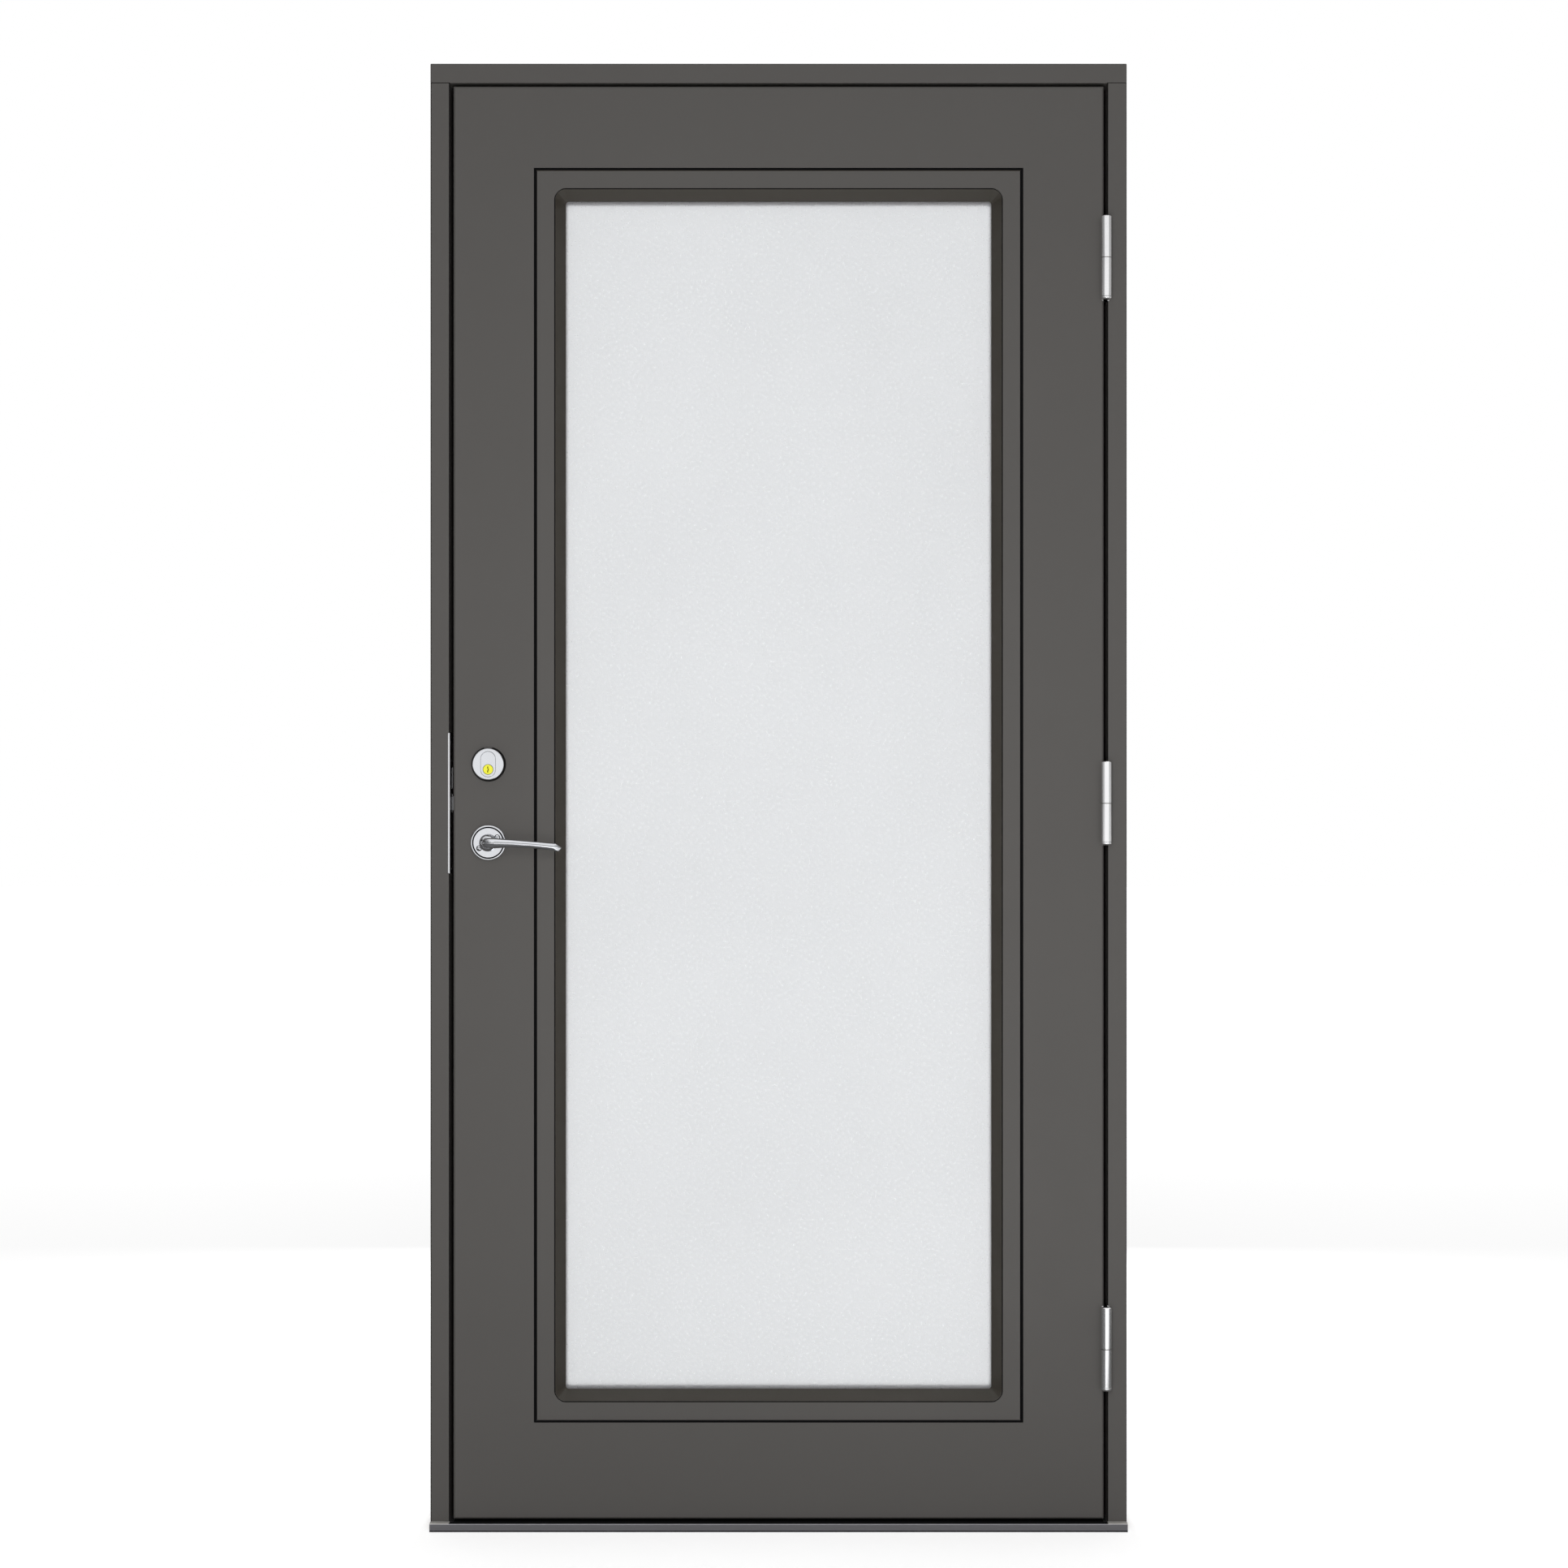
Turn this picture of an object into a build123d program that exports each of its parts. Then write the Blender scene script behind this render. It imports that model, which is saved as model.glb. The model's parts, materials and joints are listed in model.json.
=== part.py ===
from build123d import *
import os

# An exterior door in its frame. X runs to the right as seen from outside, Y runs from outside to inside,
# Z runs up. The origin is on the floor, in the middle of the frame's width and depth. Sizes are millimetres.

# Frame
FRAME_WIDTH = 990.0
FRAME_HEIGHT = 2085.0
FRAME_DEPTH = 105.0
JAMB_FACE = 27.5  # width of a jamb beside the leaf, seen from outside
HEAD_FACE = 28.0
STOP_RISE = 15.0  # how far the stop stands into the opening behind the leaf
ARRIS = 1.2  # eased front edges of the timber
LINING_GROOVE_WIDTH = 12.0
LINING_GROOVE_DEPTH = 8.0
LINING_GROOVE_EDGE = 9.0

# Threshold
THRESHOLD_TOP = 11.5
THRESHOLD_PLATE = 3.0
NOSE_REACH = 14.0  # how far the nose stands out in front of the jambs
NOSE_DEPTH = 20.0
NOSE_CHAMFER = 1.8
UPSTAND_RISE = 15.5
UPSTAND_THICKNESS = 16.0
WEAR_STRIP_DEPTH = 1.5
WEAR_STRIP_EDGE = 1.0
INNER_BOARD_THICKNESS = 14.0

# Leaf
LEAF_THICKNESS = 62.0
LEAF_PROUD = 2.0  # the leaf stands this far in front of the jambs
LEAF_CHAMFER = 2.3
SIDE_GAP = 5.5
TOP_GAP = 5.0
BOTTOM_GAP = 4.5
SEAL_SPACE = 4.5  # from the back of the leaf to the stop
SKIN = 5.0
LOCK_STILE_WIDTH = 100.0
HINGE_STILE_WIDTH = 60.0
TOP_RAIL_HEIGHT = 50.0
BOTTOM_RAIL_HEIGHT = 60.0
SWEEP_WIDTH = 10.0
SWEEP_ROOT = 5.0

# Glazing
GLASS_IN = 158.0  # from the sides of the leaf to the glass that shows
GLASS_DOWN = 159.5
GLASS_UP = 180.5
REVEAL_WIDTH = 13.2  # the bevel between the flat face and the glass
REVEAL_DEPTH = 24.0
REVEAL_MOUTH_RADIUS = 15.0
REVEAL_GLASS_RADIUS = 4.5
GLAZING_FACE = 26.0  # flat face of the outer glazing frame
GLAZING_CHAMFER = 2.3
SHADOW_GROOVE = 2.3  # open groove round the outer glazing frame
FLANGE_THICKNESS = 12.0
QUIRK_WIDTH = 1.2  # fine groove between the flat face and the bevel
QUIRK_DEPTH = 1.6
QUIRK_LAND = 0.3
PANE_COVER = 21.0  # how far the panes run in behind the glazing frames
PANE = 4.0
CAVITY = 8.0  # between two panes
GASKET = 2.0
GASKET_WIDTH = 16.0
SPACER_WIDTH = 9.0
SPACER_EDGE = 3.0
LINER_GAP = 5.0
LINER_WIDTH = 30.0
BLOCK_LENGTH = 100.0
INNER_FACE_WIDTH = 34.0
INNER_PROUD = 3.0
INNER_REVEAL = 8.0
INNER_COVER = 10.0  # how far the inner glazing frame laps over the inner skin
INNER_FRAME_PLAY = 2.0

# Seals
SEAL_WIDTH = 6.0
SEAL_GAP = 0.3
SWEEP_GAP = 0.4  # between the sweep's lip and the threshold
BOARD_GAP = 0.5

# Hinges
HINGE_DOWN = 245.0  # from the top of the leaf to the upper hinge's seam
HINGE_UP = 243.0  # from the bottom of the leaf to the lower hinge's seam
HINGE_HALF = 59.5  # from a seam to each end of the hinge
KNUCKLE_RADIUS = 7.75
KNUCKLE_FACE_GAP = 0.75  # from the knuckle to the face of the leaf
KNUCKLE_CHAMFER = 1.2
HINGE_PLATE = 2.5
HINGE_PLATE_REACH = 42.0
HINGE_SCREW_LINE = 25.0  # from the front edge of a plate to its screws
PIN_RADIUS = 4.5
PIN_FIT = 0.04
PIN_RISE = 44.0  # how far the pin stands up from the seam
WASHER = 0.8
WASHER_RADIUS = 7.0
END_CAP = 5.0
END_CAP_CHAMFER = 2.0
TURNING_GAP = 0.05

# Lock
LOCK_MID = 1033.0  # height of the latch
BACKSET = 50.0
HANDLE_DROP = 56.0  # from the latch down to the handle
PLUG_RISE = 48.0  # from the latch up to the cylinder plug
CASE_DEPTH = 84.0
CASE_THICKNESS = 18.0
CASE_HEIGHT = 180.0
CASE_PLAY = 0.25
FOREND_THICKNESS = 3.0
FOREND_WIDTH = 22.0
FOREND_HEIGHT = 240.0
LATCH_HEIGHT = 20.0
LATCH_THICKNESS = 12.0
LATCH_REACH = 12.0
LATCH_LENGTH = 32.0
LATCH_BEVEL = 9.0
DEADBOLT_RISE = 36.0
DEADBOLT_HEIGHT = 24.0
DEADBOLT_THICKNESS = 14.0
DEADBOLT_LENGTH = 36.0
BOLT_PLAY = 0.2
FOLLOWER_RADIUS = 10.0
SPINDLE = 8.0
SPINDLE_PLAY = 0.05

# Strike plate
STRIKE_THICKNESS = 2.6
STRIKE_WIDTH = 48.0
STRIKE_HEIGHT = 201.0
STRIKE_CORNER = 1.5
STRIKE_ROOM = 3.0  # room round the bolts in the plate
STRIKE_BOX_WALL = 1.5
STRIKE_BOX_DEPTH = 20.0
STRIKE_SCREW_RISES = (-90.0, -63.0, 63.0, 90.0)

# Cylinder
RING_RADIUS = 24.7
RING_FRONT_RADIUS = 22.2
RING_HEIGHT = 10.0
RING_FOOT = 1.5
RING_EDGE = 0.6
CYLINDER_WIDTH = 21.0
CYLINDER_HEIGHT = 36.0
CYLINDER_PLAY = 0.25
PLUG_RADIUS = 7.0
PLUG_DROP = 7.5  # the plug sits below the middle of the oval
PLUG_PROUD = 0.4
KEYWAY_WIDTH = 1.5
KEYWAY_HEIGHT = 8.5
KEYWAY_DEPTH = 20.0
KEYWAY_WAVE = 0.4

# Roses and levers
ROSE_RADIUS = 25.0
ROSE_HEIGHT = 8.0
ROSE_RIM = 2.3
ROSE_GROOVE = 1.7
ROSE_GROOVE_DEPTH = 2.5
ROSE_BORE = 9.0
ROSE_EDGE = 0.8
LEVER_GAP = 0.4
LEVER_COLLAR = 12.2
LEVER_COLLAR_REACH = 16.0
LEVER_NECK = 7.2
LEVER_OUT = 27.0  # straight run of the neck before the bend
LEVER_BEND = 13.0
LEVER_LENGTH = 106.0
LEVER_DROOP = 7.0
LEVER_RETURN = 6.0  # how far the tip comes back towards the leaf
LEVER_WAIST = 0.5  # where the grip is slimmest, as a share of its length
LEVER_WAIST_DEPTH = 5.2
LEVER_WAIST_HEIGHT = 5.1
LEVER_TIP_DEPTH = 4.2
LEVER_TIP_HEIGHT = 5.6
LEVER_TIP_FACETS = ((0.62, 0, 0.78), (0.73, 0, -0.68), (0.57, -0.82, 0))  # where the tip's facets face

# Thumbturn
TURN_ROSE_HEIGHT = 8.0
TURN_HUB_RADIUS = 9.0
TURN_HUB_HEIGHT = 6.0
TURN_WING_LENGTH = 34.0
TURN_WING_THICKNESS = 7.0
TURN_WING_HEIGHT = 16.0
TURN_TAIL_RADIUS = 4.0
TAIL_GAP = 1.0  # from each tail to the middle of the leaf

# Screw holes and wall fixings
HINGE_SCREW_RISES = (-42.0, 0.0, 42.0)
SCREW_HEAD = 4.2
SCREW_SHANK = 2.1
SLEEVE_RADIUS = 9.0
SLEEVE_BORE = 4.5
SLEEVE_IN_FRONT = 12.0  # from the stop to the sleeves' line
SLEEVE_LOW = 120.0  # height of the lowest sleeve
SLEEVE_DOWN = 145.0  # from the top of the frame to the highest
SLEEVE_FROM_LOCK = 390.0  # from the latch to the sleeves above and below it

# Places worked out from the sizes
FRONT = -FRAME_DEPTH / 2
BACK = FRAME_DEPTH / 2
HALF_WIDTH = FRAME_WIDTH / 2
OPENING = HALF_WIDTH - JAMB_FACE
CLEAR = OPENING - STOP_RISE
HEAD_BOTTOM = FRAME_HEIGHT - HEAD_FACE
LEAF_FRONT = FRONT - LEAF_PROUD
LEAF_BACK = LEAF_FRONT + LEAF_THICKNESS
STOP_FRONT = LEAF_BACK + SEAL_SPACE
SLEEVE_Y = STOP_FRONT - SLEEVE_IN_FRONT
LEAF_HALF = OPENING - SIDE_GAP
LEAF_TOP = HEAD_BOTTOM - TOP_GAP
LEAF_BOTTOM = THRESHOLD_TOP + BOTTOM_GAP
LIGHT_WIDTH = 2 * (LEAF_HALF - GLASS_IN)
LIGHT_HEIGHT = LEAF_TOP - GLASS_DOWN - LEAF_BOTTOM - GLASS_UP
GLASS_MID = LEAF_BOTTOM + GLASS_UP + LIGHT_HEIGHT / 2
CORE_FRONT = LEAF_FRONT + SKIN
CORE_BACK = LEAF_BACK - SKIN
GLASS_FRONT = LEAF_FRONT + REVEAL_DEPTH + GASKET
GLASS_BACK = GLASS_FRONT + 3 * PANE + 2 * CAVITY
FLANGE_BACK = LEAF_FRONT + FLANGE_THICKNESS
GLAZING_EDGE = REVEAL_WIDTH + GLAZING_FACE + GLAZING_CHAMFER
APERTURE_EDGE = GLAZING_EDGE + SHADOW_GROOVE
LINER_EDGE = PANE_COVER + LINER_GAP
HINGE_X = LEAF_HALF + SIDE_GAP / 2
HINGE_Y = LEAF_FRONT - KNUCKLE_FACE_GAP - KNUCKLE_RADIUS
LOWER_SEAM = LEAF_BOTTOM + HINGE_UP
UPPER_SEAM = LEAF_TOP - HINGE_DOWN
HINGE_SEAMS = {
    "lower": LOWER_SEAM,
    "middle": (LOWER_SEAM + UPPER_SEAM) / 2,
    "upper": UPPER_SEAM,
}
LOCK_X = -LEAF_HALF + BACKSET
LOCK_Y = LEAF_FRONT + LEAF_THICKNESS / 2
CASE_FRONT = LOCK_Y - CASE_THICKNESS / 2
CASE_BACK = LOCK_Y + CASE_THICKNESS / 2
CASE_EDGE = -LEAF_HALF + FOREND_THICKNESS
HANDLE_Z = LOCK_MID - HANDLE_DROP
PLUG_Z = LOCK_MID + PLUG_RISE
RING_Z = PLUG_Z + PLUG_DROP
DEADBOLT_Z = LOCK_MID + DEADBOLT_RISE
ROSE_FRONT = LEAF_FRONT - ROSE_HEIGHT
ROSE_BACK = LEAF_BACK + ROSE_HEIGHT
MIRROR_PLANE = Plane.XZ.offset(-LOCK_Y)


def block(x, y, z):
    """A straight-sided block between two limits along each axis."""
    spans = [high - low for low, high in (x, y, z)]
    middles = [(low + high) / 2 for low, high in (x, y, z)]
    return Pos(*middles) * Box(*spans)


def rod_x(radius, x, y, z):
    """A round rod along X between two limits."""
    return Pos((x[0] + x[1]) / 2, y, z) * Rot(0, 90, 0) * Cylinder(radius, x[1] - x[0])


def rod_y(radius, x, y, z):
    """A round rod along Y between two limits."""
    return Pos(x, (y[0] + y[1]) / 2, z) * Rot(90, 0, 0) * Cylinder(radius, y[1] - y[0])


def rod_z(radius, x, y, z):
    """A round rod along Z between two limits."""
    return Pos(x, y, (z[0] + z[1]) / 2) * Cylinder(radius, z[1] - z[0])


def turned(points, x, z):
    """A piece turned about a line along Y. Each point is a radius and a place along Y."""
    return Pos(x, 0, z) * revolve(make_face(Polyline(*points, close=True)), Axis.Y)


def facing_out(x, y, z):
    """A plane that faces outside, with its own X upwards."""
    return Plane((x, y, z), x_dir=(0, 0, 1), z_dir=(0, -1, 0))


def oval(width, height, x, y, z):
    """An upright oval bar along Y between two limits."""
    return extrude(facing_out(x, y[1], z) * SlotOverall(height, width), y[1] - y[0])


def screw_hole(place, plate):
    """A countersunk hole through a plate, with its mouth at the place given."""
    sink = Pos(0, 0, -SCREW_HEAD / 4) * Cone(SCREW_SHANK, SCREW_HEAD, SCREW_HEAD / 2)
    return place * (sink + Pos(0, 0, -plate / 2) * Cylinder(SCREW_SHANK, plate))


def facing_left(x, y, z):
    """A place whose Z points to -X, for a hole that runs towards +X."""
    return Pos(x, y, z) * Rot(0, -90, 0)


def facing_right(x, y, z):
    """A place whose Z points to +X, for a hole that runs towards -X."""
    return Pos(x, y, z) * Rot(0, 90, 0)


# Frame


def jamb(side):
    """A jamb with its rebate, stop and lining groove. Side is -1 on the left and 1 on the right."""
    outer, rebate, stop = side * HALF_WIDTH, side * OPENING, side * CLEAR
    groove_out = side * (HALF_WIDTH - LINING_GROOVE_EDGE)
    groove_in = groove_out - side * LINING_GROOVE_WIDTH
    profile = Polyline(
        (outer - side * ARRIS, FRONT),
        (rebate + side * ARRIS, FRONT),
        (rebate, FRONT + ARRIS),
        (rebate, STOP_FRONT),
        (stop, STOP_FRONT),
        (stop, BACK),
        (groove_in, BACK),
        (groove_in, BACK - LINING_GROOVE_DEPTH),
        (groove_out, BACK - LINING_GROOVE_DEPTH),
        (groove_out, BACK),
        (outer, BACK),
        (outer, FRONT + ARRIS),
        close=True,
    )
    post = extrude(Pos(0, 0, THRESHOLD_TOP) * make_face(profile), HEAD_BOTTOM - THRESHOLD_TOP)
    for z in sleeve_heights():
        post -= rod_x(SLEEVE_RADIUS, sorted((rebate, outer)), SLEEVE_Y, z)
    return post


def frame_head():
    """The head, which runs over both jambs, with its stop between theirs."""
    bar = block((-HALF_WIDTH, HALF_WIDTH), (FRONT, BACK), (HEAD_BOTTOM, FRAME_HEIGHT))
    front_edges = bar.faces().sort_by(Axis.Y)[0].edges().filter_by(Axis.X)
    bar = chamfer(front_edges, ARRIS)
    stop = block((-CLEAR, CLEAR), (STOP_FRONT, BACK), (HEAD_BOTTOM - STOP_RISE, HEAD_BOTTOM))
    groove_top = FRAME_HEIGHT - LINING_GROOVE_EDGE
    groove = block(
        (-HALF_WIDTH, HALF_WIDTH),
        (BACK - LINING_GROOVE_DEPTH, BACK),
        (groove_top - LINING_GROOVE_WIDTH, groove_top),
    )
    return bar + stop - groove


def sleeve_heights():
    """The fixings lie near the ends of each jamb, and above and below the lock."""
    return [
        SLEEVE_LOW,
        LOCK_MID - SLEEVE_FROM_LOCK,
        LOCK_MID + SLEEVE_FROM_LOCK,
        FRAME_HEIGHT - SLEEVE_DOWN,
    ]


def fixing_sleeves():
    """Steel sleeves through the jambs, for the screws into the wall."""
    sleeves = Part()
    for side in (-1, 1):
        rebate, outer = side * OPENING, side * HALF_WIDTH
        for z in sleeve_heights():
            x = sorted((rebate, outer))
            sleeves += rod_x(SLEEVE_RADIUS, x, SLEEVE_Y, z) - rod_x(SLEEVE_BORE, x, SLEEVE_Y, z)
    return sleeves


def threshold_core():
    """The core under the metal profile, which stands on the floor."""
    return block(
        (-HALF_WIDTH, HALF_WIDTH),
        (FRONT - NOSE_REACH + NOSE_DEPTH, BACK),
        (0, THRESHOLD_TOP - THRESHOLD_PLATE),
    )


def threshold_profile():
    """The extruded profile: a nose in front, a plate over the core and an upstand behind the leaf."""
    nose_front = FRONT - NOSE_REACH
    plate_bottom = THRESHOLD_TOP - THRESHOLD_PLATE
    upstand_back = STOP_FRONT + UPSTAND_THICKNESS
    profile = Polyline(
        (nose_front, NOSE_CHAMFER),
        (nose_front + NOSE_CHAMFER, 0),
        (nose_front + NOSE_DEPTH, 0),
        (nose_front + NOSE_DEPTH, plate_bottom),
        (BACK, plate_bottom),
        (BACK, THRESHOLD_TOP),
        (nose_front + ARRIS / 2, THRESHOLD_TOP),
        (nose_front, THRESHOLD_TOP - ARRIS / 2),
        close=True,
    )
    across = Plane((-HALF_WIDTH, 0, 0), x_dir=(0, 1, 0), z_dir=(1, 0, 0))
    bar = extrude(across * make_face(profile), FRAME_WIDTH)
    upstand = block(
        (-CLEAR, CLEAR), (STOP_FRONT, upstand_back), (THRESHOLD_TOP, THRESHOLD_TOP + UPSTAND_RISE)
    )
    back_edge = upstand.edges().filter_by(Axis.X).sort_by(Axis.Y)[-2:].sort_by(Axis.Z)[-1]
    return bar + chamfer(back_edge, ARRIS) - wear_strip()


def wear_strip():
    """The black strip let into the threshold under the front of the leaf."""
    return block(
        (-LEAF_HALF, LEAF_HALF),
        (FRONT - NOSE_REACH + WEAR_STRIP_EDGE, LOCK_Y),
        (THRESHOLD_TOP - WEAR_STRIP_DEPTH, THRESHOLD_TOP),
    )


def threshold_inner_board():
    """The inner board behind the upstand, with an eased inner edge."""
    board = block(
        (-CLEAR, CLEAR),
        (STOP_FRONT + UPSTAND_THICKNESS, BACK),
        (THRESHOLD_TOP, THRESHOLD_TOP + INNER_BOARD_THICKNESS),
    )
    inner_edge = board.edges().filter_by(Axis.X).sort_by(Axis.Y)[-2:].sort_by(Axis.Z)[-1]
    return chamfer(inner_edge, ARRIS * 2)


def weather_seal():
    """The loop of rubber on the stop, which the back of the leaf closes on."""
    lap = LEAF_HALF - CLEAR
    middle_x = LEAF_HALF - lap / 2
    top = LEAF_TOP - lap / 2
    bottom = LEAF_BOTTOM + (THRESHOLD_TOP + UPSTAND_RISE - LEAF_BOTTOM) / 2
    y = (LEAF_BACK + SEAL_GAP, STOP_FRONT)
    half = SEAL_WIDTH / 2
    loop = block((-middle_x - half, middle_x + half), y, (bottom - half, top + half))
    loop -= block((-middle_x + half, middle_x - half), y, (bottom + half, top - half))
    front_edges = loop.faces().sort_by(Axis.Y)[0].edges()
    return chamfer(front_edges, SEAL_WIDTH / 4)


# Strike plate


def latch_mouth(x, room):
    """The room for the latch bolt between two limits along X."""
    half_y, half_z = LATCH_THICKNESS / 2 + room, LATCH_HEIGHT / 2 + room
    return block(x, (LOCK_Y - half_y, LOCK_Y + half_y), (LOCK_MID - half_z, LOCK_MID + half_z))


def deadbolt_mouth(x, room):
    """The room for the deadbolt between two limits along X."""
    half_y, half_z = DEADBOLT_THICKNESS / 2 + room, DEADBOLT_HEIGHT / 2 + room
    return block(x, (LOCK_Y - half_y, LOCK_Y + half_y), (DEADBOLT_Z - half_z, DEADBOLT_Z + half_z))


def strike_blank():
    """The strike plate before its holes are cut, let into the lock-side jamb."""
    x = (-OPENING - STRIKE_THICKNESS, -OPENING)
    z = (LOCK_MID - STRIKE_HEIGHT / 2, LOCK_MID + STRIKE_HEIGHT / 2)
    return block(x, (FRONT, FRONT + STRIKE_WIDTH), z)


def strike_screw_places():
    return [facing_right(-OPENING, LOCK_Y, LOCK_MID + rise) for rise in STRIKE_SCREW_RISES]


def strike_plate():
    plate = fillet(strike_blank().edges().filter_by(Axis.X), STRIKE_CORNER)
    x = (-OPENING - STRIKE_THICKNESS, -OPENING)
    plate -= latch_mouth(x, STRIKE_ROOM) + deadbolt_mouth(x, STRIKE_ROOM)
    for place in strike_screw_places():
        plate -= screw_hole(place, STRIKE_THICKNESS)
    return plate


def strike_box_blank(wall):
    """The dust box behind the strike plate, with or without its walls."""
    back = -OPENING - STRIKE_THICKNESS
    half_y = DEADBOLT_THICKNESS / 2 + STRIKE_ROOM + wall
    low = LOCK_MID - LATCH_HEIGHT / 2 - STRIKE_ROOM - wall
    high = DEADBOLT_Z + DEADBOLT_HEIGHT / 2 + STRIKE_ROOM + wall
    return block((back - STRIKE_BOX_DEPTH - wall, back), (LOCK_Y - half_y, LOCK_Y + half_y), (low, high))


def strike_box():
    return strike_box_blank(STRIKE_BOX_WALL) - strike_box_blank(0)


def lock_side_jamb():
    return jamb(-1) - strike_blank() - strike_box_blank(STRIKE_BOX_WALL)


# Hinges


def hinge_plate(side, seam):
    """A hinge plate let into the edge of the leaf (-1) or into the jamb (1)."""
    face = LEAF_HALF if side < 0 else OPENING
    front = LEAF_FRONT if side < 0 else FRONT
    x = sorted((face, face + side * HINGE_PLATE))
    return block(x, (front, front + HINGE_PLATE_REACH), (seam - HINGE_HALF, seam + HINGE_HALF))


def hinge_screw_places(side, seam):
    """The places of one hinge plate's screw holes, with their mouths in the gap."""
    face = LEAF_HALF if side < 0 else OPENING
    front = LEAF_FRONT if side < 0 else FRONT
    turn = facing_right if side < 0 else facing_left
    return [turn(face, front + HINGE_SCREW_LINE, seam + rise) for rise in HINGE_SCREW_RISES]


def hinge_half(side, seam):
    """One half of a lift-off hinge: the leaf's upper knuckle (-1) or the frame's lower knuckle (1)."""
    face = LEAF_HALF if side < 0 else OPENING
    front = LEAF_FRONT if side < 0 else FRONT
    bottom = seam + WASHER / 2 + TURNING_GAP if side < 0 else seam - HINGE_HALF + END_CAP
    top = seam + HINGE_HALF if side < 0 else seam - WASHER / 2
    knuckle = rod_z(KNUCKLE_RADIUS, HINGE_X, HINGE_Y, (bottom, top))
    if side < 0:
        knuckle = chamfer(knuckle.edges().sort_by(Axis.Z)[-1], KNUCKLE_CHAMFER)
    neck_x = sorted((face, face + side * HINGE_PLATE))
    neck = block(neck_x, (HINGE_Y, front), (bottom, top - KNUCKLE_CHAMFER))
    half = knuckle + neck + hinge_plate(side, seam)
    bore_top = seam + PIN_RISE + TURNING_GAP if side < 0 else top
    half -= rod_z(PIN_RADIUS + PIN_FIT, HINGE_X, HINGE_Y, (bottom, bore_top))
    for place in hinge_screw_places(side, seam):
        half -= screw_hole(place, HINGE_PLATE)
    return half


def hinge_pins():
    """The steel pins that stand up from the frame halves."""
    pins = Part()
    for seam in HINGE_SEAMS.values():
        z = (seam - HINGE_HALF + END_CAP, seam + PIN_RISE)
        pin = rod_z(PIN_RADIUS, HINGE_X, HINGE_Y, z)
        pins += chamfer(pin.edges().sort_by(Axis.Z)[-1], PIN_RADIUS / 4)
    return pins


def hinge_washers():
    """The thin bearing washers in the seams."""
    washers = Part()
    for seam in HINGE_SEAMS.values():
        z = (seam - WASHER / 2, seam + WASHER / 2)
        washer = rod_z(WASHER_RADIUS, HINGE_X, HINGE_Y, z)
        washers += washer - rod_z(PIN_RADIUS + PIN_FIT, HINGE_X, HINGE_Y, z)
    return washers


def hinge_end_caps():
    """The rounded caps that close the lower knuckles."""
    caps = Part()
    for seam in HINGE_SEAMS.values():
        bottom = seam - HINGE_HALF
        cap = rod_z(KNUCKLE_RADIUS, HINGE_X, HINGE_Y, (bottom, bottom + END_CAP))
        caps += chamfer(cap.edges().sort_by(Axis.Z)[0], END_CAP_CHAMFER)
    return caps


def cut_for_hinges(piece, side):
    """The piece with the mortises for its hinge plates cut."""
    for seam in HINGE_SEAMS.values():
        piece -= hinge_plate(side, seam)
    return piece


# Leaf


def leaf_hardware_holes():
    """The holes through the leaf for the spindle, the cylinder and the thumbturn."""
    holes = rod_y(ROSE_BORE, LOCK_X, (LEAF_FRONT, LEAF_BACK), HANDLE_Z)
    cylinder_size = CYLINDER_WIDTH + 2 * CYLINDER_PLAY, CYLINDER_HEIGHT + 2 * CYLINDER_PLAY
    holes += oval(*cylinder_size, LOCK_X, (LEAF_FRONT, LOCK_Y), RING_Z)
    return holes + rod_y(TURN_HUB_RADIUS, LOCK_X, (LOCK_Y, LEAF_BACK), PLUG_Z)


def leaf_outer_skin():
    skin = block((-LEAF_HALF, LEAF_HALF), (LEAF_FRONT, CORE_FRONT), (LEAF_BOTTOM, LEAF_TOP))
    skin = chamfer(skin.faces().sort_by(Axis.Y)[0].edges(), LEAF_CHAMFER)
    skin -= glass_block(APERTURE_EDGE, (LEAF_FRONT, CORE_FRONT))
    return cut_for_hinges(skin - leaf_hardware_holes(), -1)


def leaf_inner_skin():
    skin = block((-LEAF_HALF, LEAF_HALF), (CORE_BACK, LEAF_BACK), (LEAF_BOTTOM, LEAF_TOP))
    skin = chamfer(skin.faces().sort_by(Axis.Y)[-1].edges(), LEAF_CHAMFER / 2)
    skin -= glass_block(inner_aperture_edge(), (CORE_BACK, LEAF_BACK))
    return skin - leaf_hardware_holes()


def lock_stile():
    """The wide stile that holds the lock case."""
    stile = block(
        (-LEAF_HALF, -LEAF_HALF + LOCK_STILE_WIDTH), (CORE_FRONT, CORE_BACK), (LEAF_BOTTOM, LEAF_TOP)
    )
    return stile - (forend_blank() + case_blank(CASE_PLAY) + leaf_hardware_holes())


def hinge_stile():
    stile = block(
        (LEAF_HALF - HINGE_STILE_WIDTH, LEAF_HALF), (CORE_FRONT, CORE_BACK), (LEAF_BOTTOM, LEAF_TOP)
    )
    return cut_for_hinges(stile, -1)


def rail(z):
    """A rail between the stiles."""
    x = (-LEAF_HALF + LOCK_STILE_WIDTH, LEAF_HALF - HINGE_STILE_WIDTH)
    return block(x, (CORE_FRONT, CORE_BACK), z)


def top_rail():
    return rail((LEAF_TOP - TOP_RAIL_HEIGHT, LEAF_TOP))


def bottom_rail():
    """The bottom rail, with the groove for the sweep cut in it."""
    return rail((LEAF_BOTTOM, LEAF_BOTTOM + BOTTOM_RAIL_HEIGHT)) - sweep_root()


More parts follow.
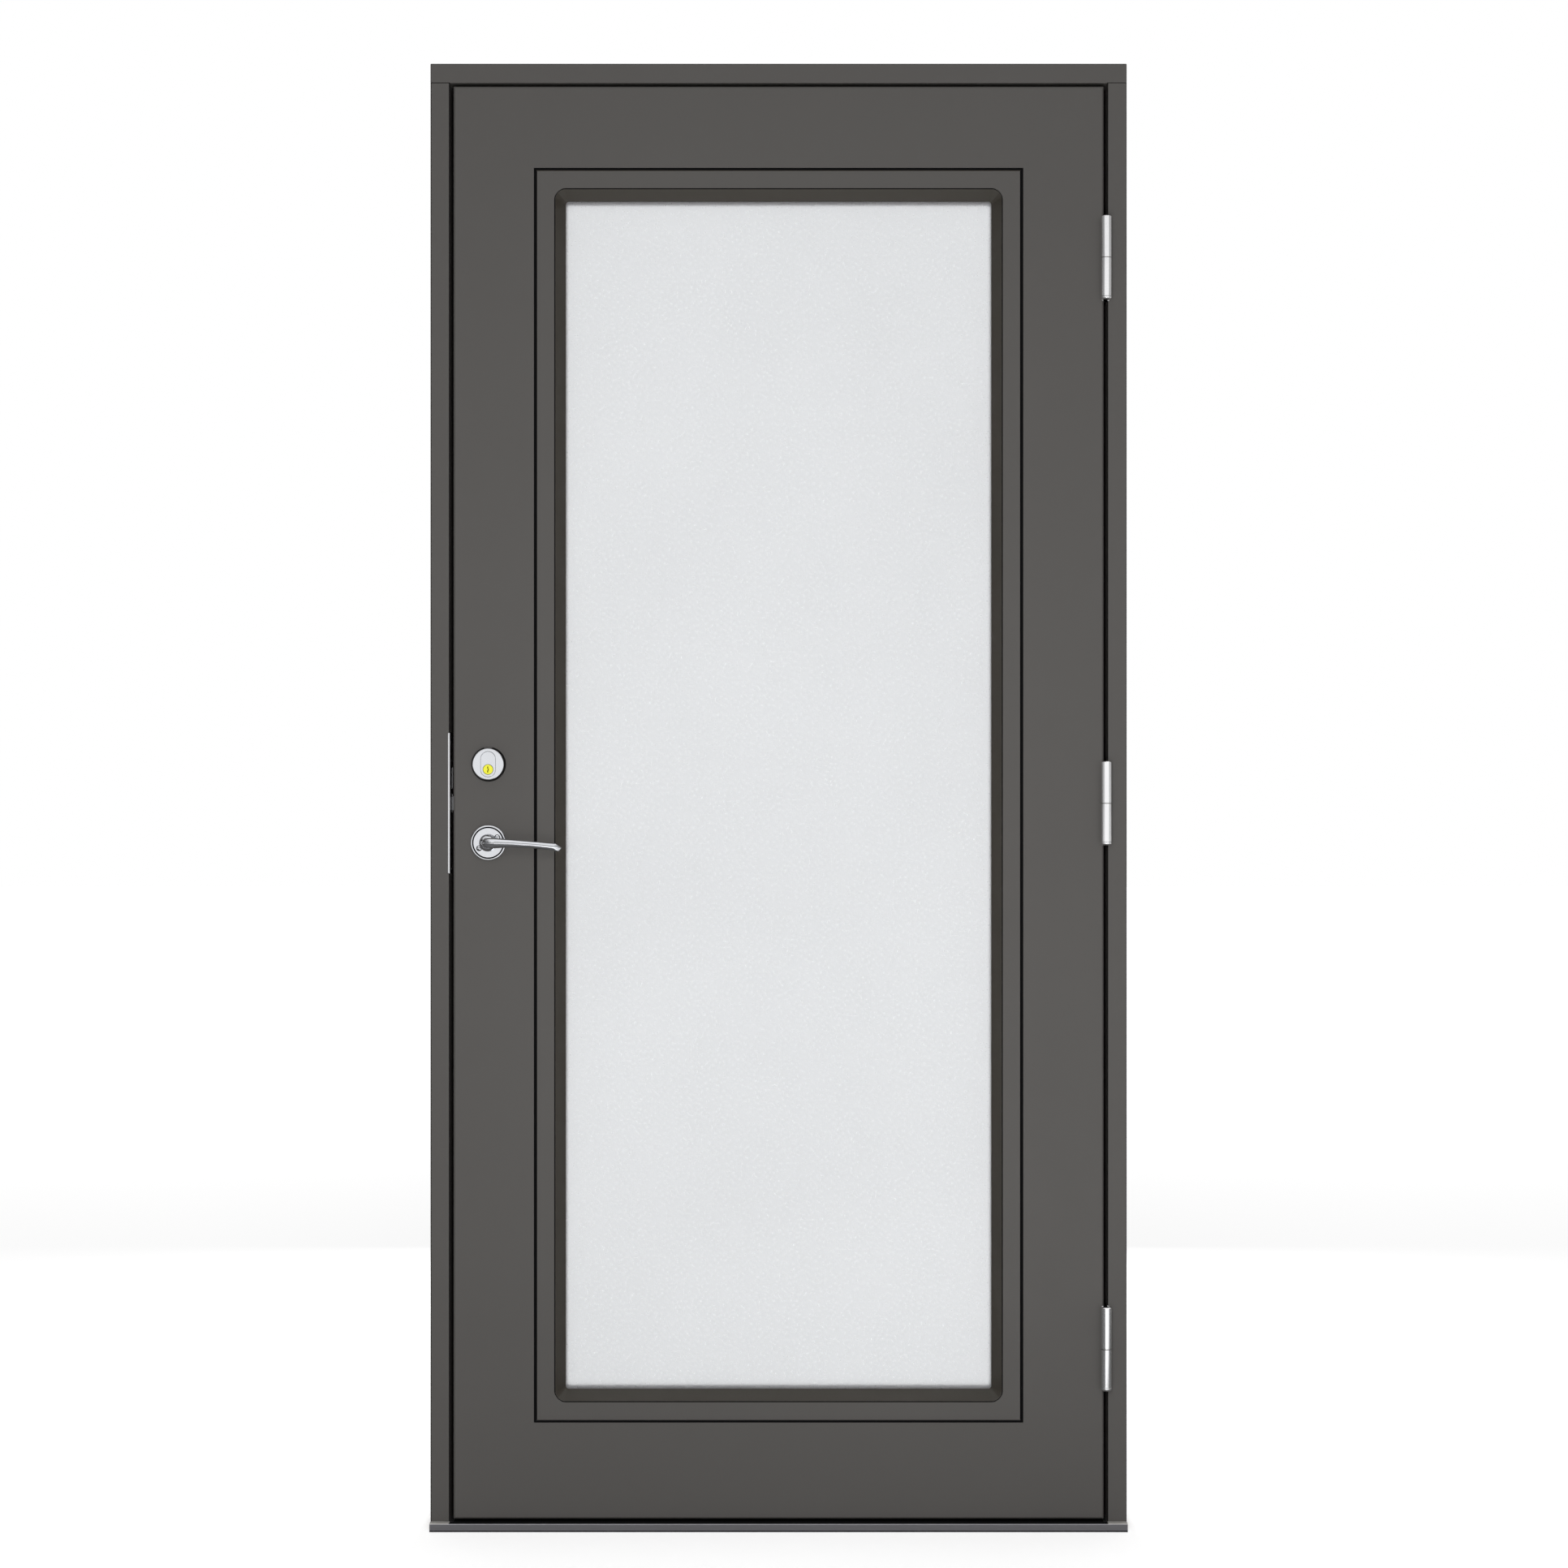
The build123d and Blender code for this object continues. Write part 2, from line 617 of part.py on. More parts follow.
def sweep_root():
    x = (-LEAF_HALF + LOCK_STILE_WIDTH, LEAF_HALF - HINGE_STILE_WIDTH)
    y = (LOCK_Y - SWEEP_WIDTH / 2, LOCK_Y + SWEEP_WIDTH / 2)
    return block(x, y, (LEAF_BOTTOM, LEAF_BOTTOM + SWEEP_ROOT))


def bottom_sweep():
    """The rubber sweep under the leaf: a root in its groove and a lip just above the threshold."""
    half = SWEEP_WIDTH / 3
    x = (-LEAF_HALF + SIDE_GAP, LEAF_HALF - SIDE_GAP)
    lip = block(x, (LOCK_Y - half, LOCK_Y + half), (THRESHOLD_TOP + SWEEP_GAP, LEAF_BOTTOM))
    return sweep_root() + lip


def insulation_boards():
    """Boards that fill the leaf between the stiles, the rails and the glazing liner."""
    y = (CORE_FRONT, CORE_BACK)
    left, right = -LEAF_HALF + LOCK_STILE_WIDTH, LEAF_HALF - HINGE_STILE_WIDTH
    low, high = LEAF_BOTTOM + BOTTOM_RAIL_HEIGHT, LEAF_TOP - TOP_RAIL_HEIGHT
    liner = LINER_EDGE + LINER_WIDTH
    liner_x, liner_z = LIGHT_WIDTH / 2 + liner, LIGHT_HEIGHT / 2 + liner
    boards = block((liner_x, right), y, (low, high))
    boards += block((left, liner_x - BOARD_GAP), y, (low, GLASS_MID - liner_z))
    boards += block((left, liner_x - BOARD_GAP), y, (GLASS_MID + liner_z, high))
    return boards


# Glazing


def glass_block(margin, y):
    """A block in line with the glass that shows, larger than it by a margin all round."""
    half_width, half_height = LIGHT_WIDTH / 2 + margin, LIGHT_HEIGHT / 2 + margin
    z = (GLASS_MID - half_height, GLASS_MID + half_height)
    return block((-half_width, half_width), y, z)


def glass_ring(inner, outer, y):
    return glass_block(outer, y) - glass_block(inner, y)


def rounded_opening(margin, radius, y):
    """A rounded rectangle in line with the glass, on a plane that faces outside."""
    place = Plane((0, y, GLASS_MID), x_dir=(1, 0, 0), z_dir=(0, -1, 0))
    return place * RectangleRounded(LIGHT_WIDTH + 2 * margin, LIGHT_HEIGHT + 2 * margin, radius)


def glazing_liner():
    """The timber liner round the glass, rebated for the outer glazing frame."""
    liner = glass_ring(LINER_EDGE, LINER_EDGE + LINER_WIDTH, (CORE_FRONT, CORE_BACK))
    return liner - glass_block(APERTURE_EDGE, (CORE_FRONT, FLANGE_BACK))


def outer_glazing_frame():
    """The outer glazing frame: a chamfered flange, a fine quirk and a bevel that narrows to the glass."""
    lip_back = LEAF_FRONT + REVEAL_DEPTH
    flange = glass_block(GLAZING_EDGE, (LEAF_FRONT, FLANGE_BACK))
    flange = chamfer(flange.faces().sort_by(Axis.Y)[0].edges(), GLAZING_CHAMFER)
    lip = glass_block(LINER_EDGE - INNER_FRAME_PLAY, (FLANGE_BACK, lip_back))
    mouth = loft(
        [
            rounded_opening(REVEAL_WIDTH, REVEAL_MOUTH_RADIUS, LEAF_FRONT),
            rounded_opening(0, REVEAL_GLASS_RADIUS, lip_back),
        ]
    )
    quirk_in = REVEAL_WIDTH + QUIRK_LAND
    quirk_out = quirk_in + QUIRK_WIDTH
    quirk_face = rounded_opening(
        quirk_out, REVEAL_MOUTH_RADIUS + QUIRK_LAND + QUIRK_WIDTH, LEAF_FRONT
    ) - rounded_opening(quirk_in, REVEAL_MOUTH_RADIUS + QUIRK_LAND, LEAF_FRONT)
    return flange + lip - mouth - extrude(quirk_face, -QUIRK_DEPTH)


def inner_aperture_edge():
    """How far the aperture in the inner skin lies outside the glass that shows."""
    return INNER_REVEAL + INNER_FACE_WIDTH - INNER_COVER


def inner_glazing_frame():
    """The inner glazing frame, which clamps the glass from inside and laps over the inner skin."""
    face = LEAF_BACK + INNER_PROUD
    cover = glass_block(INNER_REVEAL + INNER_FACE_WIDTH, (LEAF_BACK, face))
    cover = chamfer(cover.faces().sort_by(Axis.Y)[-1].edges(), INNER_PROUD / 2)
    seat = glass_block(inner_aperture_edge() - INNER_FRAME_PLAY, (CORE_BACK, LEAF_BACK))
    lip = glass_block(LINER_EDGE - INNER_FRAME_PLAY, (GLASS_BACK + GASKET, CORE_BACK))
    mouth = loft(
        [
            rounded_opening(0, REVEAL_GLASS_RADIUS, GLASS_BACK + GASKET),
            rounded_opening(INNER_REVEAL, REVEAL_MOUTH_RADIUS, face),
        ]
    )
    return cover + seat + lip - mouth


def pane(number):
    """One of the three panes, counted from outside."""
    front = GLASS_FRONT + number * (PANE + CAVITY)
    return glass_block(PANE_COVER, (front, front + PANE))


def spacer(number):
    """The spacer bar between two panes."""
    front = GLASS_FRONT + PANE + number * (PANE + CAVITY)
    outer = PANE_COVER - SPACER_EDGE
    return glass_ring(outer - SPACER_WIDTH, outer, (front, front + CAVITY))


def gasket(y):
    """A flat gasket between the glass and a glazing frame."""
    return glass_ring(PANE_COVER - GASKET_WIDTH - GASKET, PANE_COVER - GASKET, y)


def setting_blocks():
    """The two blocks that the glass stands on, near its bottom corners."""
    glass_bottom = GLASS_MID - LIGHT_HEIGHT / 2 - PANE_COVER
    z = (glass_bottom - LINER_GAP, glass_bottom)
    blocks = Part()
    for side in (-1, 1):
        middle = side * (LIGHT_WIDTH / 2 - BLOCK_LENGTH)
        x = (middle - BLOCK_LENGTH / 2, middle + BLOCK_LENGTH / 2)
        blocks += block(x, (GLASS_FRONT, GLASS_BACK), z)
    return blocks


# Lock


def forend_blank():
    """The rounded plate in the edge of the leaf, before its holes are cut."""
    place = Plane((-LEAF_HALF, LOCK_Y, LOCK_MID), x_dir=(0, 0, 1), z_dir=(1, 0, 0))
    return extrude(place * SlotOverall(FOREND_HEIGHT, FOREND_WIDTH), FOREND_THICKNESS)


def forend_screw_places():
    rise = FOREND_HEIGHT / 2 - FOREND_WIDTH / 2
    return [facing_left(-LEAF_HALF, LOCK_Y, LOCK_MID + side * rise) for side in (-1, 1)]


def lock_forend():
    x = (-LEAF_HALF, CASE_EDGE)
    plate = forend_blank() - latch_mouth(x, BOLT_PLAY) - deadbolt_mouth(x, BOLT_PLAY)
    for place in forend_screw_places():
        plate -= screw_hole(place, FOREND_THICKNESS)
    return plate


def case_blank(play):
    """The outside of the lock case, with play round it for its pocket."""
    x = (CASE_EDGE, CASE_EDGE + CASE_DEPTH + play)
    y = (CASE_FRONT - play, CASE_BACK + play)
    z = (LOCK_MID - CASE_HEIGHT / 2 - play, LOCK_MID + CASE_HEIGHT / 2 + play)
    return block(x, y, z)


def lock_case():
    """The lock case, with its channels for the bolts and its bores for the follower and the tails."""
    case = case_blank(0)
    case -= latch_mouth((CASE_EDGE, latch_back() + LATCH_REACH + STRIKE_ROOM), BOLT_PLAY)
    case -= deadbolt_mouth((CASE_EDGE, deadbolt_back()), BOLT_PLAY)
    case -= rod_y(FOLLOWER_RADIUS + SPINDLE_PLAY, LOCK_X, (CASE_FRONT, CASE_BACK), HANDLE_Z)
    return case - rod_y(PLUG_RADIUS, LOCK_X, (CASE_FRONT, CASE_BACK), PLUG_Z)


def latch_back():
    return -LEAF_HALF - LATCH_REACH + LATCH_LENGTH


def deadbolt_back():
    return -LEAF_HALF + DEADBOLT_LENGTH


def latch_bolt():
    """The spring latch, bevelled on the side that meets the strike plate as the leaf closes."""
    tip = -LEAF_HALF - LATCH_REACH
    y = (LOCK_Y - LATCH_THICKNESS / 2, LOCK_Y + LATCH_THICKNESS / 2)
    z = (LOCK_MID - LATCH_HEIGHT / 2, LOCK_MID + LATCH_HEIGHT / 2)
    bolt = block((tip, latch_back()), y, z)
    tip_back_edge = bolt.edges().filter_by(Axis.Z).sort_by(Axis.X)[:2].sort_by(Axis.Y)[-1]
    return chamfer(tip_back_edge, LATCH_BEVEL)


def deadbolt():
    y = (LOCK_Y - DEADBOLT_THICKNESS / 2, LOCK_Y + DEADBOLT_THICKNESS / 2)
    z = (DEADBOLT_Z - DEADBOLT_HEIGHT / 2, DEADBOLT_Z + DEADBOLT_HEIGHT / 2)
    bolt = block((-LEAF_HALF, deadbolt_back()), y, z)
    return chamfer(bolt.faces().sort_by(Axis.X)[0].edges(), ARRIS)


def spindle_square(play, y):
    half = SPINDLE / 2 + play
    return block((LOCK_X - half, LOCK_X + half), y, (HANDLE_Z - half, HANDLE_Z + half))


def follower():
    """The hub in the lock case that the spindle turns."""
    y = (CASE_FRONT, CASE_BACK)
    return rod_y(FOLLOWER_RADIUS, LOCK_X, y, HANDLE_Z) - spindle_square(SPINDLE_PLAY, y)


# Cylinder


def cylinder_ring():
    """The tapered ring round the oval cylinder."""
    front = LEAF_FRONT - RING_HEIGHT
    ring = turned(
        [
            (0, LEAF_FRONT),
            (RING_RADIUS, LEAF_FRONT),
            (RING_RADIUS, LEAF_FRONT - RING_FOOT),
            (RING_FRONT_RADIUS, front + RING_EDGE),
            (RING_FRONT_RADIUS - RING_EDGE, front),
            (0, front),
        ],
        LOCK_X,
        RING_Z,
    )
    width, height = CYLINDER_WIDTH + CYLINDER_PLAY, CYLINDER_HEIGHT + CYLINDER_PLAY
    return ring - oval(width, height, LOCK_X, (front, LEAF_FRONT), RING_Z)


def cylinder_body():
    """The oval cylinder, from the face of its ring back to the lock case."""
    y = (LEAF_FRONT - RING_HEIGHT, CASE_FRONT - CASE_PLAY)
    body = oval(CYLINDER_WIDTH, CYLINDER_HEIGHT, LOCK_X, y, RING_Z)
    return body - rod_y(PLUG_RADIUS + SPINDLE_PLAY, LOCK_X, y, PLUG_Z)


def cylinder_plug():
    """The brass plug with its keyway, and the tail that turns the lock."""
    front = LEAF_FRONT - RING_HEIGHT - PLUG_PROUD
    plug = rod_y(PLUG_RADIUS, LOCK_X, (front, CASE_FRONT), PLUG_Z)
    plug = chamfer(plug.edges().sort_by(Axis.Y)[0], PLUG_PROUD / 2)
    third = KEYWAY_HEIGHT / 3
    for step, wave in ((-1, -KEYWAY_WAVE), (0, KEYWAY_WAVE), (1, -KEYWAY_WAVE)):
        x = (LOCK_X + wave - KEYWAY_WIDTH / 2, LOCK_X + wave + KEYWAY_WIDTH / 2)
        z = (PLUG_Z + (step - 0.5) * third, PLUG_Z + (step + 0.5) * third)
        plug -= block(x, (front, front + KEYWAY_DEPTH), z)
    return plug + rod_y(TURN_TAIL_RADIUS, LOCK_X, (CASE_FRONT, LOCK_Y - TAIL_GAP), PLUG_Z)


# Roses and levers


def rose():
    """A round rose with a rim, a groove and a flat disc."""
    groove_out = ROSE_RADIUS - ROSE_RIM
    groove_in = groove_out - ROSE_GROOVE
    groove_floor = ROSE_FRONT + ROSE_GROOVE_DEPTH
    return turned(
        [
            (ROSE_BORE, LEAF_FRONT),
            (ROSE_RADIUS, LEAF_FRONT),
            (ROSE_RADIUS, ROSE_FRONT + ROSE_EDGE),
            (ROSE_RADIUS - ROSE_EDGE, ROSE_FRONT),
            (groove_out, ROSE_FRONT),
            (groove_out, groove_floor),
            (groove_in, groove_floor),
            (groove_in, ROSE_FRONT),
            (ROSE_BORE, ROSE_FRONT),
        ],
        LOCK_X,
        HANDLE_Z,
    )


def grip_outline(half_depth, half_height):
    """The outline of the neck and grip, with a ridge along the middle of its outer side."""
    return make_face(
        Polyline(
            (-half_depth, half_height * 0.4),
            (-half_depth * 0.6, half_height * 0.86),
            (0, half_height),
            (half_depth * 0.6, half_height * 0.78),
            (half_depth, 0),
            (half_depth * 0.6, -half_height * 0.78),
            (0, -half_height),
            (-half_depth * 0.6, -half_height * 0.86),
            (-half_depth, -half_height * 0.4),
            close=True,
        )
    )


def grip_section(share, half_depth, half_height):
    """The grip's outline at a share of the way from the bend to the tip."""
    length = LEVER_LENGTH - LEVER_BEND
    middle = Vector(
        LOCK_X + LEVER_BEND + length * share,
        ROSE_FRONT - LEVER_GAP - LEVER_OUT - LEVER_BEND + LEVER_RETURN * share**2,
        HANDLE_Z - LEVER_DROOP * share**2,
    )
    slope = Vector(length, 2 * LEVER_RETURN * share, -2 * LEVER_DROOP * share)
    place = Plane(middle, x_dir=(slope.Y, -slope.X, 0), z_dir=slope)
    return place * grip_outline(half_depth, half_height)


def lever_grip():
    """The grip: slimmest at its waist, drooping and coming back a little towards its tip."""
    waist = grip_section(LEVER_WAIST, LEVER_WAIST_DEPTH, LEVER_WAIST_HEIGHT)
    return loft(
        [
            grip_section(0, LEVER_NECK, LEVER_NECK),
            waist,
            grip_section(1, LEVER_TIP_DEPTH, LEVER_TIP_HEIGHT),
        ]
    )


def beyond(point, direction):
    """Everything near the lever that lies beyond a point in a direction."""
    size = LEVER_LENGTH / 2
    return Plane(point, z_dir=direction) * Pos(0, 0, size / 2) * Box(size, size, size)


def outer_lever():
    """The outer lever: a swelling collar, a bent neck and a grip with a slanted, pointed tip."""
    base = ROSE_FRONT - LEVER_GAP
    neck_end = base - LEVER_OUT
    collar = turned(
        [
            (0, base),
            (LEVER_COLLAR * 0.8, base),
            (LEVER_COLLAR * 0.96, base - LEVER_COLLAR_REACH * 0.35),
            (LEVER_COLLAR, base - LEVER_COLLAR_REACH * 0.55),
            (LEVER_COLLAR * 0.92, base - LEVER_COLLAR_REACH * 0.78),
            (LEVER_COLLAR * 0.7, base - LEVER_COLLAR_REACH),
            (0, base - LEVER_COLLAR_REACH),
        ],
        LOCK_X,
        HANDLE_Z,
    )
    across = Plane((LOCK_X, neck_end, HANDLE_Z), x_dir=(-1, 0, 0), z_dir=(0, -1, 0))
    outline = across * grip_outline(LEVER_NECK, LEVER_NECK)
    bend_path = TangentArc(
        [across.origin, (LOCK_X + LEVER_BEND, neck_end - LEVER_BEND, HANDLE_Z)], tangent=(0, -1, 0)
    )
    lever = collar + extrude(outline, -LEVER_OUT) + sweep(outline, bend_path) + lever_grip()
    tip = (LOCK_X + LEVER_LENGTH, neck_end - LEVER_BEND + LEVER_RETURN, HANDLE_Z - LEVER_DROOP)
    for direction in LEVER_TIP_FACETS:
        lever -= beyond(tip, direction)
    lever += rod_y(ROSE_BORE - PIN_FIT, LOCK_X, (base, LEAF_FRONT), HANDLE_Z)
    return lever - spindle_square(SPINDLE_PLAY, (spindle_front(), LEAF_FRONT))


def spindle_front():
    return ROSE_FRONT - LEVER_GAP - LEVER_COLLAR_REACH


def inner_lever():
    return mirror(outer_lever(), MIRROR_PLANE)


def spindle():
    """The square spindle between the levers."""
    return spindle_square(0, (spindle_front(), 2 * LOCK_Y - spindle_front()))


# Thumbturn


def thumbturn_rose():
    """The round rose that the thumbturn turns in."""
    face = LEAF_BACK + TURN_ROSE_HEIGHT
    return turned(
        [
            (TURN_HUB_RADIUS + SPINDLE_PLAY, LEAF_BACK),
            (ROSE_RADIUS, LEAF_BACK),
            (ROSE_RADIUS, face - ROSE_EDGE),
            (ROSE_RADIUS - ROSE_EDGE, face),
            (TURN_HUB_RADIUS + SPINDLE_PLAY, face),
        ],
        LOCK_X,
        PLUG_Z,
    )


def thumbturn():
    """The thumbturn: a hub, an upright wing to hold, and its tail into the lock case."""
    face = LEAF_BACK + TURN_ROSE_HEIGHT
    hub_end = face + TURN_HUB_HEIGHT
    hub = rod_y(TURN_HUB_RADIUS, LOCK_X, (LEAF_BACK, hub_end), PLUG_Z)
    wing = oval(TURN_WING_THICKNESS, TURN_WING_LENGTH, LOCK_X, (hub_end, hub_end + TURN_WING_HEIGHT), PLUG_Z)
    wing = chamfer(wing.faces().sort_by(Axis.Y)[-1].edges(), TURN_WING_THICKNESS / 6)
    tail = rod_y(TURN_TAIL_RADIUS, LOCK_X, (LOCK_Y + TAIL_GAP, LEAF_BACK), PLUG_Z)
    return hub + wing + tail


NODES = {
    "frame_head": frame_head,
    "frame_jamb_lock_side": lock_side_jamb,
    "frame_jamb_hinge_side": lambda: cut_for_hinges(jamb(1), 1),
    "frame_fixing_sleeves": fixing_sleeves,
    "frame_weather_seal": weather_seal,
    "threshold_core": threshold_core,
    "threshold_profile": threshold_profile,
    "threshold_wear_strip": wear_strip,
    "threshold_inner_board": threshold_inner_board,
    "strike_plate": strike_plate,
    "strike_box": strike_box,
    "hinge_pins": hinge_pins,
    "hinge_washers": hinge_washers,
    "hinge_end_caps": hinge_end_caps,
    "leaf_outer_skin": leaf_outer_skin,
    "leaf_inner_skin": leaf_inner_skin,
    "leaf_lock_stile": lock_stile,
    "leaf_hinge_stile": hinge_stile,
    "leaf_top_rail": top_rail,
    "leaf_bottom_rail": bottom_rail,
    "leaf_insulation": insulation_boards,
    "leaf_bottom_sweep": bottom_sweep,
    "glazing_liner": glazing_liner,
    "outer_glazing_frame": outer_glazing_frame,
    "inner_glazing_frame": inner_glazing_frame,
    "outer_gasket": lambda: gasket((GLASS_FRONT - GASKET, GLASS_FRONT)),
    "inner_gasket": lambda: gasket((GLASS_BACK, GLASS_BACK + GASKET)),
    "outer_pane": lambda: pane(0),
    "middle_pane": lambda: pane(1),
    "inner_pane": lambda: pane(2),
    "outer_spacer": lambda: spacer(0),
    "inner_spacer": lambda: spacer(1),
    "setting_blocks": setting_blocks,
    "lock_case": lock_case,
    "lock_forend": lock_forend,
    "latch_bolt": latch_bolt,
    "deadbolt": deadbolt,
    "follower": follower,
    "spindle": spindle,
    "cylinder_ring": cylinder_ring,
    "cylinder_body": cylinder_body,
    "cylinder_plug": cylinder_plug,
    "outer_rose": rose,
    "inner_rose": lambda: mirror(rose(), MIRROR_PLANE),
    "outer_lever": outer_lever,
    "inner_lever": inner_lever,
    "thumbturn_rose": thumbturn_rose,
    "thumbturn": thumbturn,
}


os.makedirs("parts", exist_ok=True)
for name, make in NODES.items():
    export_step(make(), f"parts/{name}.step")
for name, seam in HINGE_SEAMS.items():
    export_step(hinge_half(1, seam), f"parts/hinge_frame_half_{name}.step")
    export_step(hinge_half(-1, seam), f"parts/hinge_leaf_half_{name}.step")
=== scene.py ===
import json
from math import radians

import bpy
from mathutils import Matrix, Vector

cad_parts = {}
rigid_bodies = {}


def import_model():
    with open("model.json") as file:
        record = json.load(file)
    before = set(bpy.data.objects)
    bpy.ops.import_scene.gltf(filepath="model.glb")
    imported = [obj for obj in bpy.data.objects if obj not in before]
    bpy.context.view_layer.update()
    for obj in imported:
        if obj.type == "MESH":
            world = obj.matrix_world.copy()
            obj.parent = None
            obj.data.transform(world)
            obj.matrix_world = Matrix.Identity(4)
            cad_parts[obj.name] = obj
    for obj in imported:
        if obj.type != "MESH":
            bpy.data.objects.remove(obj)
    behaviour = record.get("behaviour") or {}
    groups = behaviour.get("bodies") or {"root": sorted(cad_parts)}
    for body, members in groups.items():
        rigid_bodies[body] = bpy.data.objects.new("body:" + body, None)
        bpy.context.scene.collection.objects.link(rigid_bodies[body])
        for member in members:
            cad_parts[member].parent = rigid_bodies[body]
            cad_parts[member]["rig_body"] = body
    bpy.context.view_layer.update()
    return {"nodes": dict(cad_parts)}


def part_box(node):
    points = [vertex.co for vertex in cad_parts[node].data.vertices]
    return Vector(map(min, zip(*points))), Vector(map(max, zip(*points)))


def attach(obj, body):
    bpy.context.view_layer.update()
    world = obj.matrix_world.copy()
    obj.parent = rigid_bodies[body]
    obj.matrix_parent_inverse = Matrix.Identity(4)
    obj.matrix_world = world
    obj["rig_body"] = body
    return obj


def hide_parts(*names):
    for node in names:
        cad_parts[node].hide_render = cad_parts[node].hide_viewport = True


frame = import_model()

nodes = frame["nodes"]


# Head and jambs: finger-jointed pine, planed to a rebated section and sprayed with satin grey paint
# before they are screwed together. The head lies on top of the jambs, so a fine joint shows there.
# The eased edges round the outer face are painted black as shade, a dark outline where they turn
# from the light.

FRAME_GREY = (82, 80, 78)
SEALER_AND_SHADE_BLACK = (12, 11, 11)
FRAME_ARRIS = 0.0013
EASED = 0.002
JAMB_FACE = 0.0275
JOINT_WIDTH = 0.002
JOINT_DEPTH = 0.003
JOINT_SINK = 0.00005
JOINT_ARRIS = 0.0002
SLANT_LEAST = 0.1
FRAME_SLANT_MOST = 0.97
LEANING = 0.2
MERGE_REACH = 0.000002
FLAT_WITHIN = 0.5
SMOOTH_MARGIN = 10


def tone(red, green, blue):
    """A colour from a paint card, 0 to 255, as the linear colour that a shader takes."""
    shares = [value / 255 for value in (red, green, blue)]
    return [s / 12.92 if s <= 0.04045 else ((s + 0.055) / 1.055) ** 2.4 for s in shares] + [1.0]


def put(tree, kind, inputs=(), **settings):
    """A shader node with its settings. Each input takes a value or the socket that feeds it."""
    node = tree.nodes.new("ShaderNode" + kind)
    for name, value in settings.items():
        setattr(node, name, value)
    for name, value in dict(inputs).items():
        if isinstance(value, bpy.types.NodeSocket):
            tree.links.new(value, node.inputs[name])
        else:
            node.inputs[name].default_value = value
    return node


def start_pattern(name, inputs):
    """A node group for a surface, with its inputs and the outputs that every pattern gives."""
    tree = bpy.data.node_groups.new(name, "ShaderNodeTree")
    kinds = {3: "NodeSocketVector", 4: "NodeSocketColor"}
    for title, value in inputs.items():
        kind = kinds[len(value)] if isinstance(value, tuple) else "NodeSocketFloat"
        tree.interface.new_socket(title, in_out="INPUT", socket_type=kind).default_value = value
    tree.interface.new_socket("Color", in_out="OUTPUT", socket_type="NodeSocketColor")
    tree.interface.new_socket("Roughness", in_out="OUTPUT", socket_type="NodeSocketFloat")
    tree.interface.new_socket("Height", in_out="OUTPUT", socket_type="NodeSocketFloat")
    return tree, tree.nodes.new("NodeGroupInput").outputs


def end_pattern(tree, color, roughness, height):
    ends = tree.nodes.new("NodeGroupOutput")
    for title, socket in (("Color", color), ("Roughness", roughness), ("Height", height)):
        tree.links.new(socket, ends.inputs[title])
    return tree


def spread_out(tree, noise, low, high):
    """A noise, which mostly lies between 0.3 and 0.7, spread out between two values."""
    ends = {"Value": noise, "From Min": 0.3, "From Max": 0.7, "To Min": low, "To Max": high}
    return put(tree, "MapRange", ends).outputs["Result"]


def uneven(tree, color, place, scale, spread):
    """The colour, a little lighter and darker in soft patches."""
    cloud = put(tree, "TexNoise", {"Vector": place, "Scale": scale, "Detail": 3.0})
    gain = spread_out(tree, cloud.outputs["Fac"], 1 - spread, 1 + spread)
    return put(tree, "VectorMath", {0: color, "Scale": gain}, operation="SCALE").outputs["Vector"]


def uneven_gloss(tree, roughness, noise, spread):
    change = spread_out(tree, noise, -spread, spread)
    return put(tree, "Math", {0: roughness, 1: change}, operation="ADD").outputs["Value"]


def sprayed_paint():
    """Spray paint: a fine orange peel under a film that is a touch uneven in colour and gloss."""
    tree, given = start_pattern(
        "sprayed_paint", {"Color": (0.1, 0.1, 0.1, 1.0), "Roughness": 0.4, "Peel Scale": 700.0}
    )
    place = put(tree, "TexCoord").outputs["Object"]
    peel = put(tree, "TexNoise", {"Vector": place, "Scale": given["Peel Scale"], "Detail": 2.0})
    film = put(tree, "TexNoise", {"Vector": place, "Scale": 14.0, "Detail": 4.0})
    color = uneven(tree, given["Color"], place, scale=5.0, spread=0.012)
    gloss = uneven_gloss(tree, given["Roughness"], film.outputs["Fac"], spread=0.03)
    return end_pattern(tree, color, gloss, peel.outputs["Fac"])


def finish(name, pattern, values, relief, **sockets):
    """A material: a pattern with its values, its relief in metres, and plain shader sockets."""
    material = bpy.data.materials.new(name)
    material.use_nodes = True
    tree = material.node_tree
    shader = tree.nodes["Principled BSDF"]
    surface = put(tree, "Group", node_tree=pattern)
    for title, value in values.items():
        surface.inputs[title].default_value = value
    bump = put(tree, "Bump", {"Height": surface.outputs["Height"], "Distance": relief})
    tree.links.new(surface.outputs["Color"], shader.inputs["Base Color"])
    tree.links.new(surface.outputs["Roughness"], shader.inputs["Roughness"])
    tree.links.new(bump.outputs["Normal"], shader.inputs["Normal"])
    for title, value in sockets.items():
        shader.inputs[title.replace("_", " ")].default_value = value
    return material


def dress(material, *names):
    """Gives CAD nodes a material."""
    for name in names:
        for slot in nodes[name].material_slots:
            slot.material = material


def pick(piece):
    """Makes a piece the only one selected, and the active one."""
    bpy.ops.object.select_all(action="DESELECT")
    bpy.context.view_layer.objects.active = piece
    piece.select_set(True)


def apply(piece, kind, **settings):
    """Adds a modifier to a piece and applies it."""
    pick(piece)
    modifier = piece.modifiers.new(kind.lower(), kind)
    for name, value in settings.items():
        setattr(modifier, name, value)
    bpy.ops.object.modifier_apply(modifier=modifier.name)


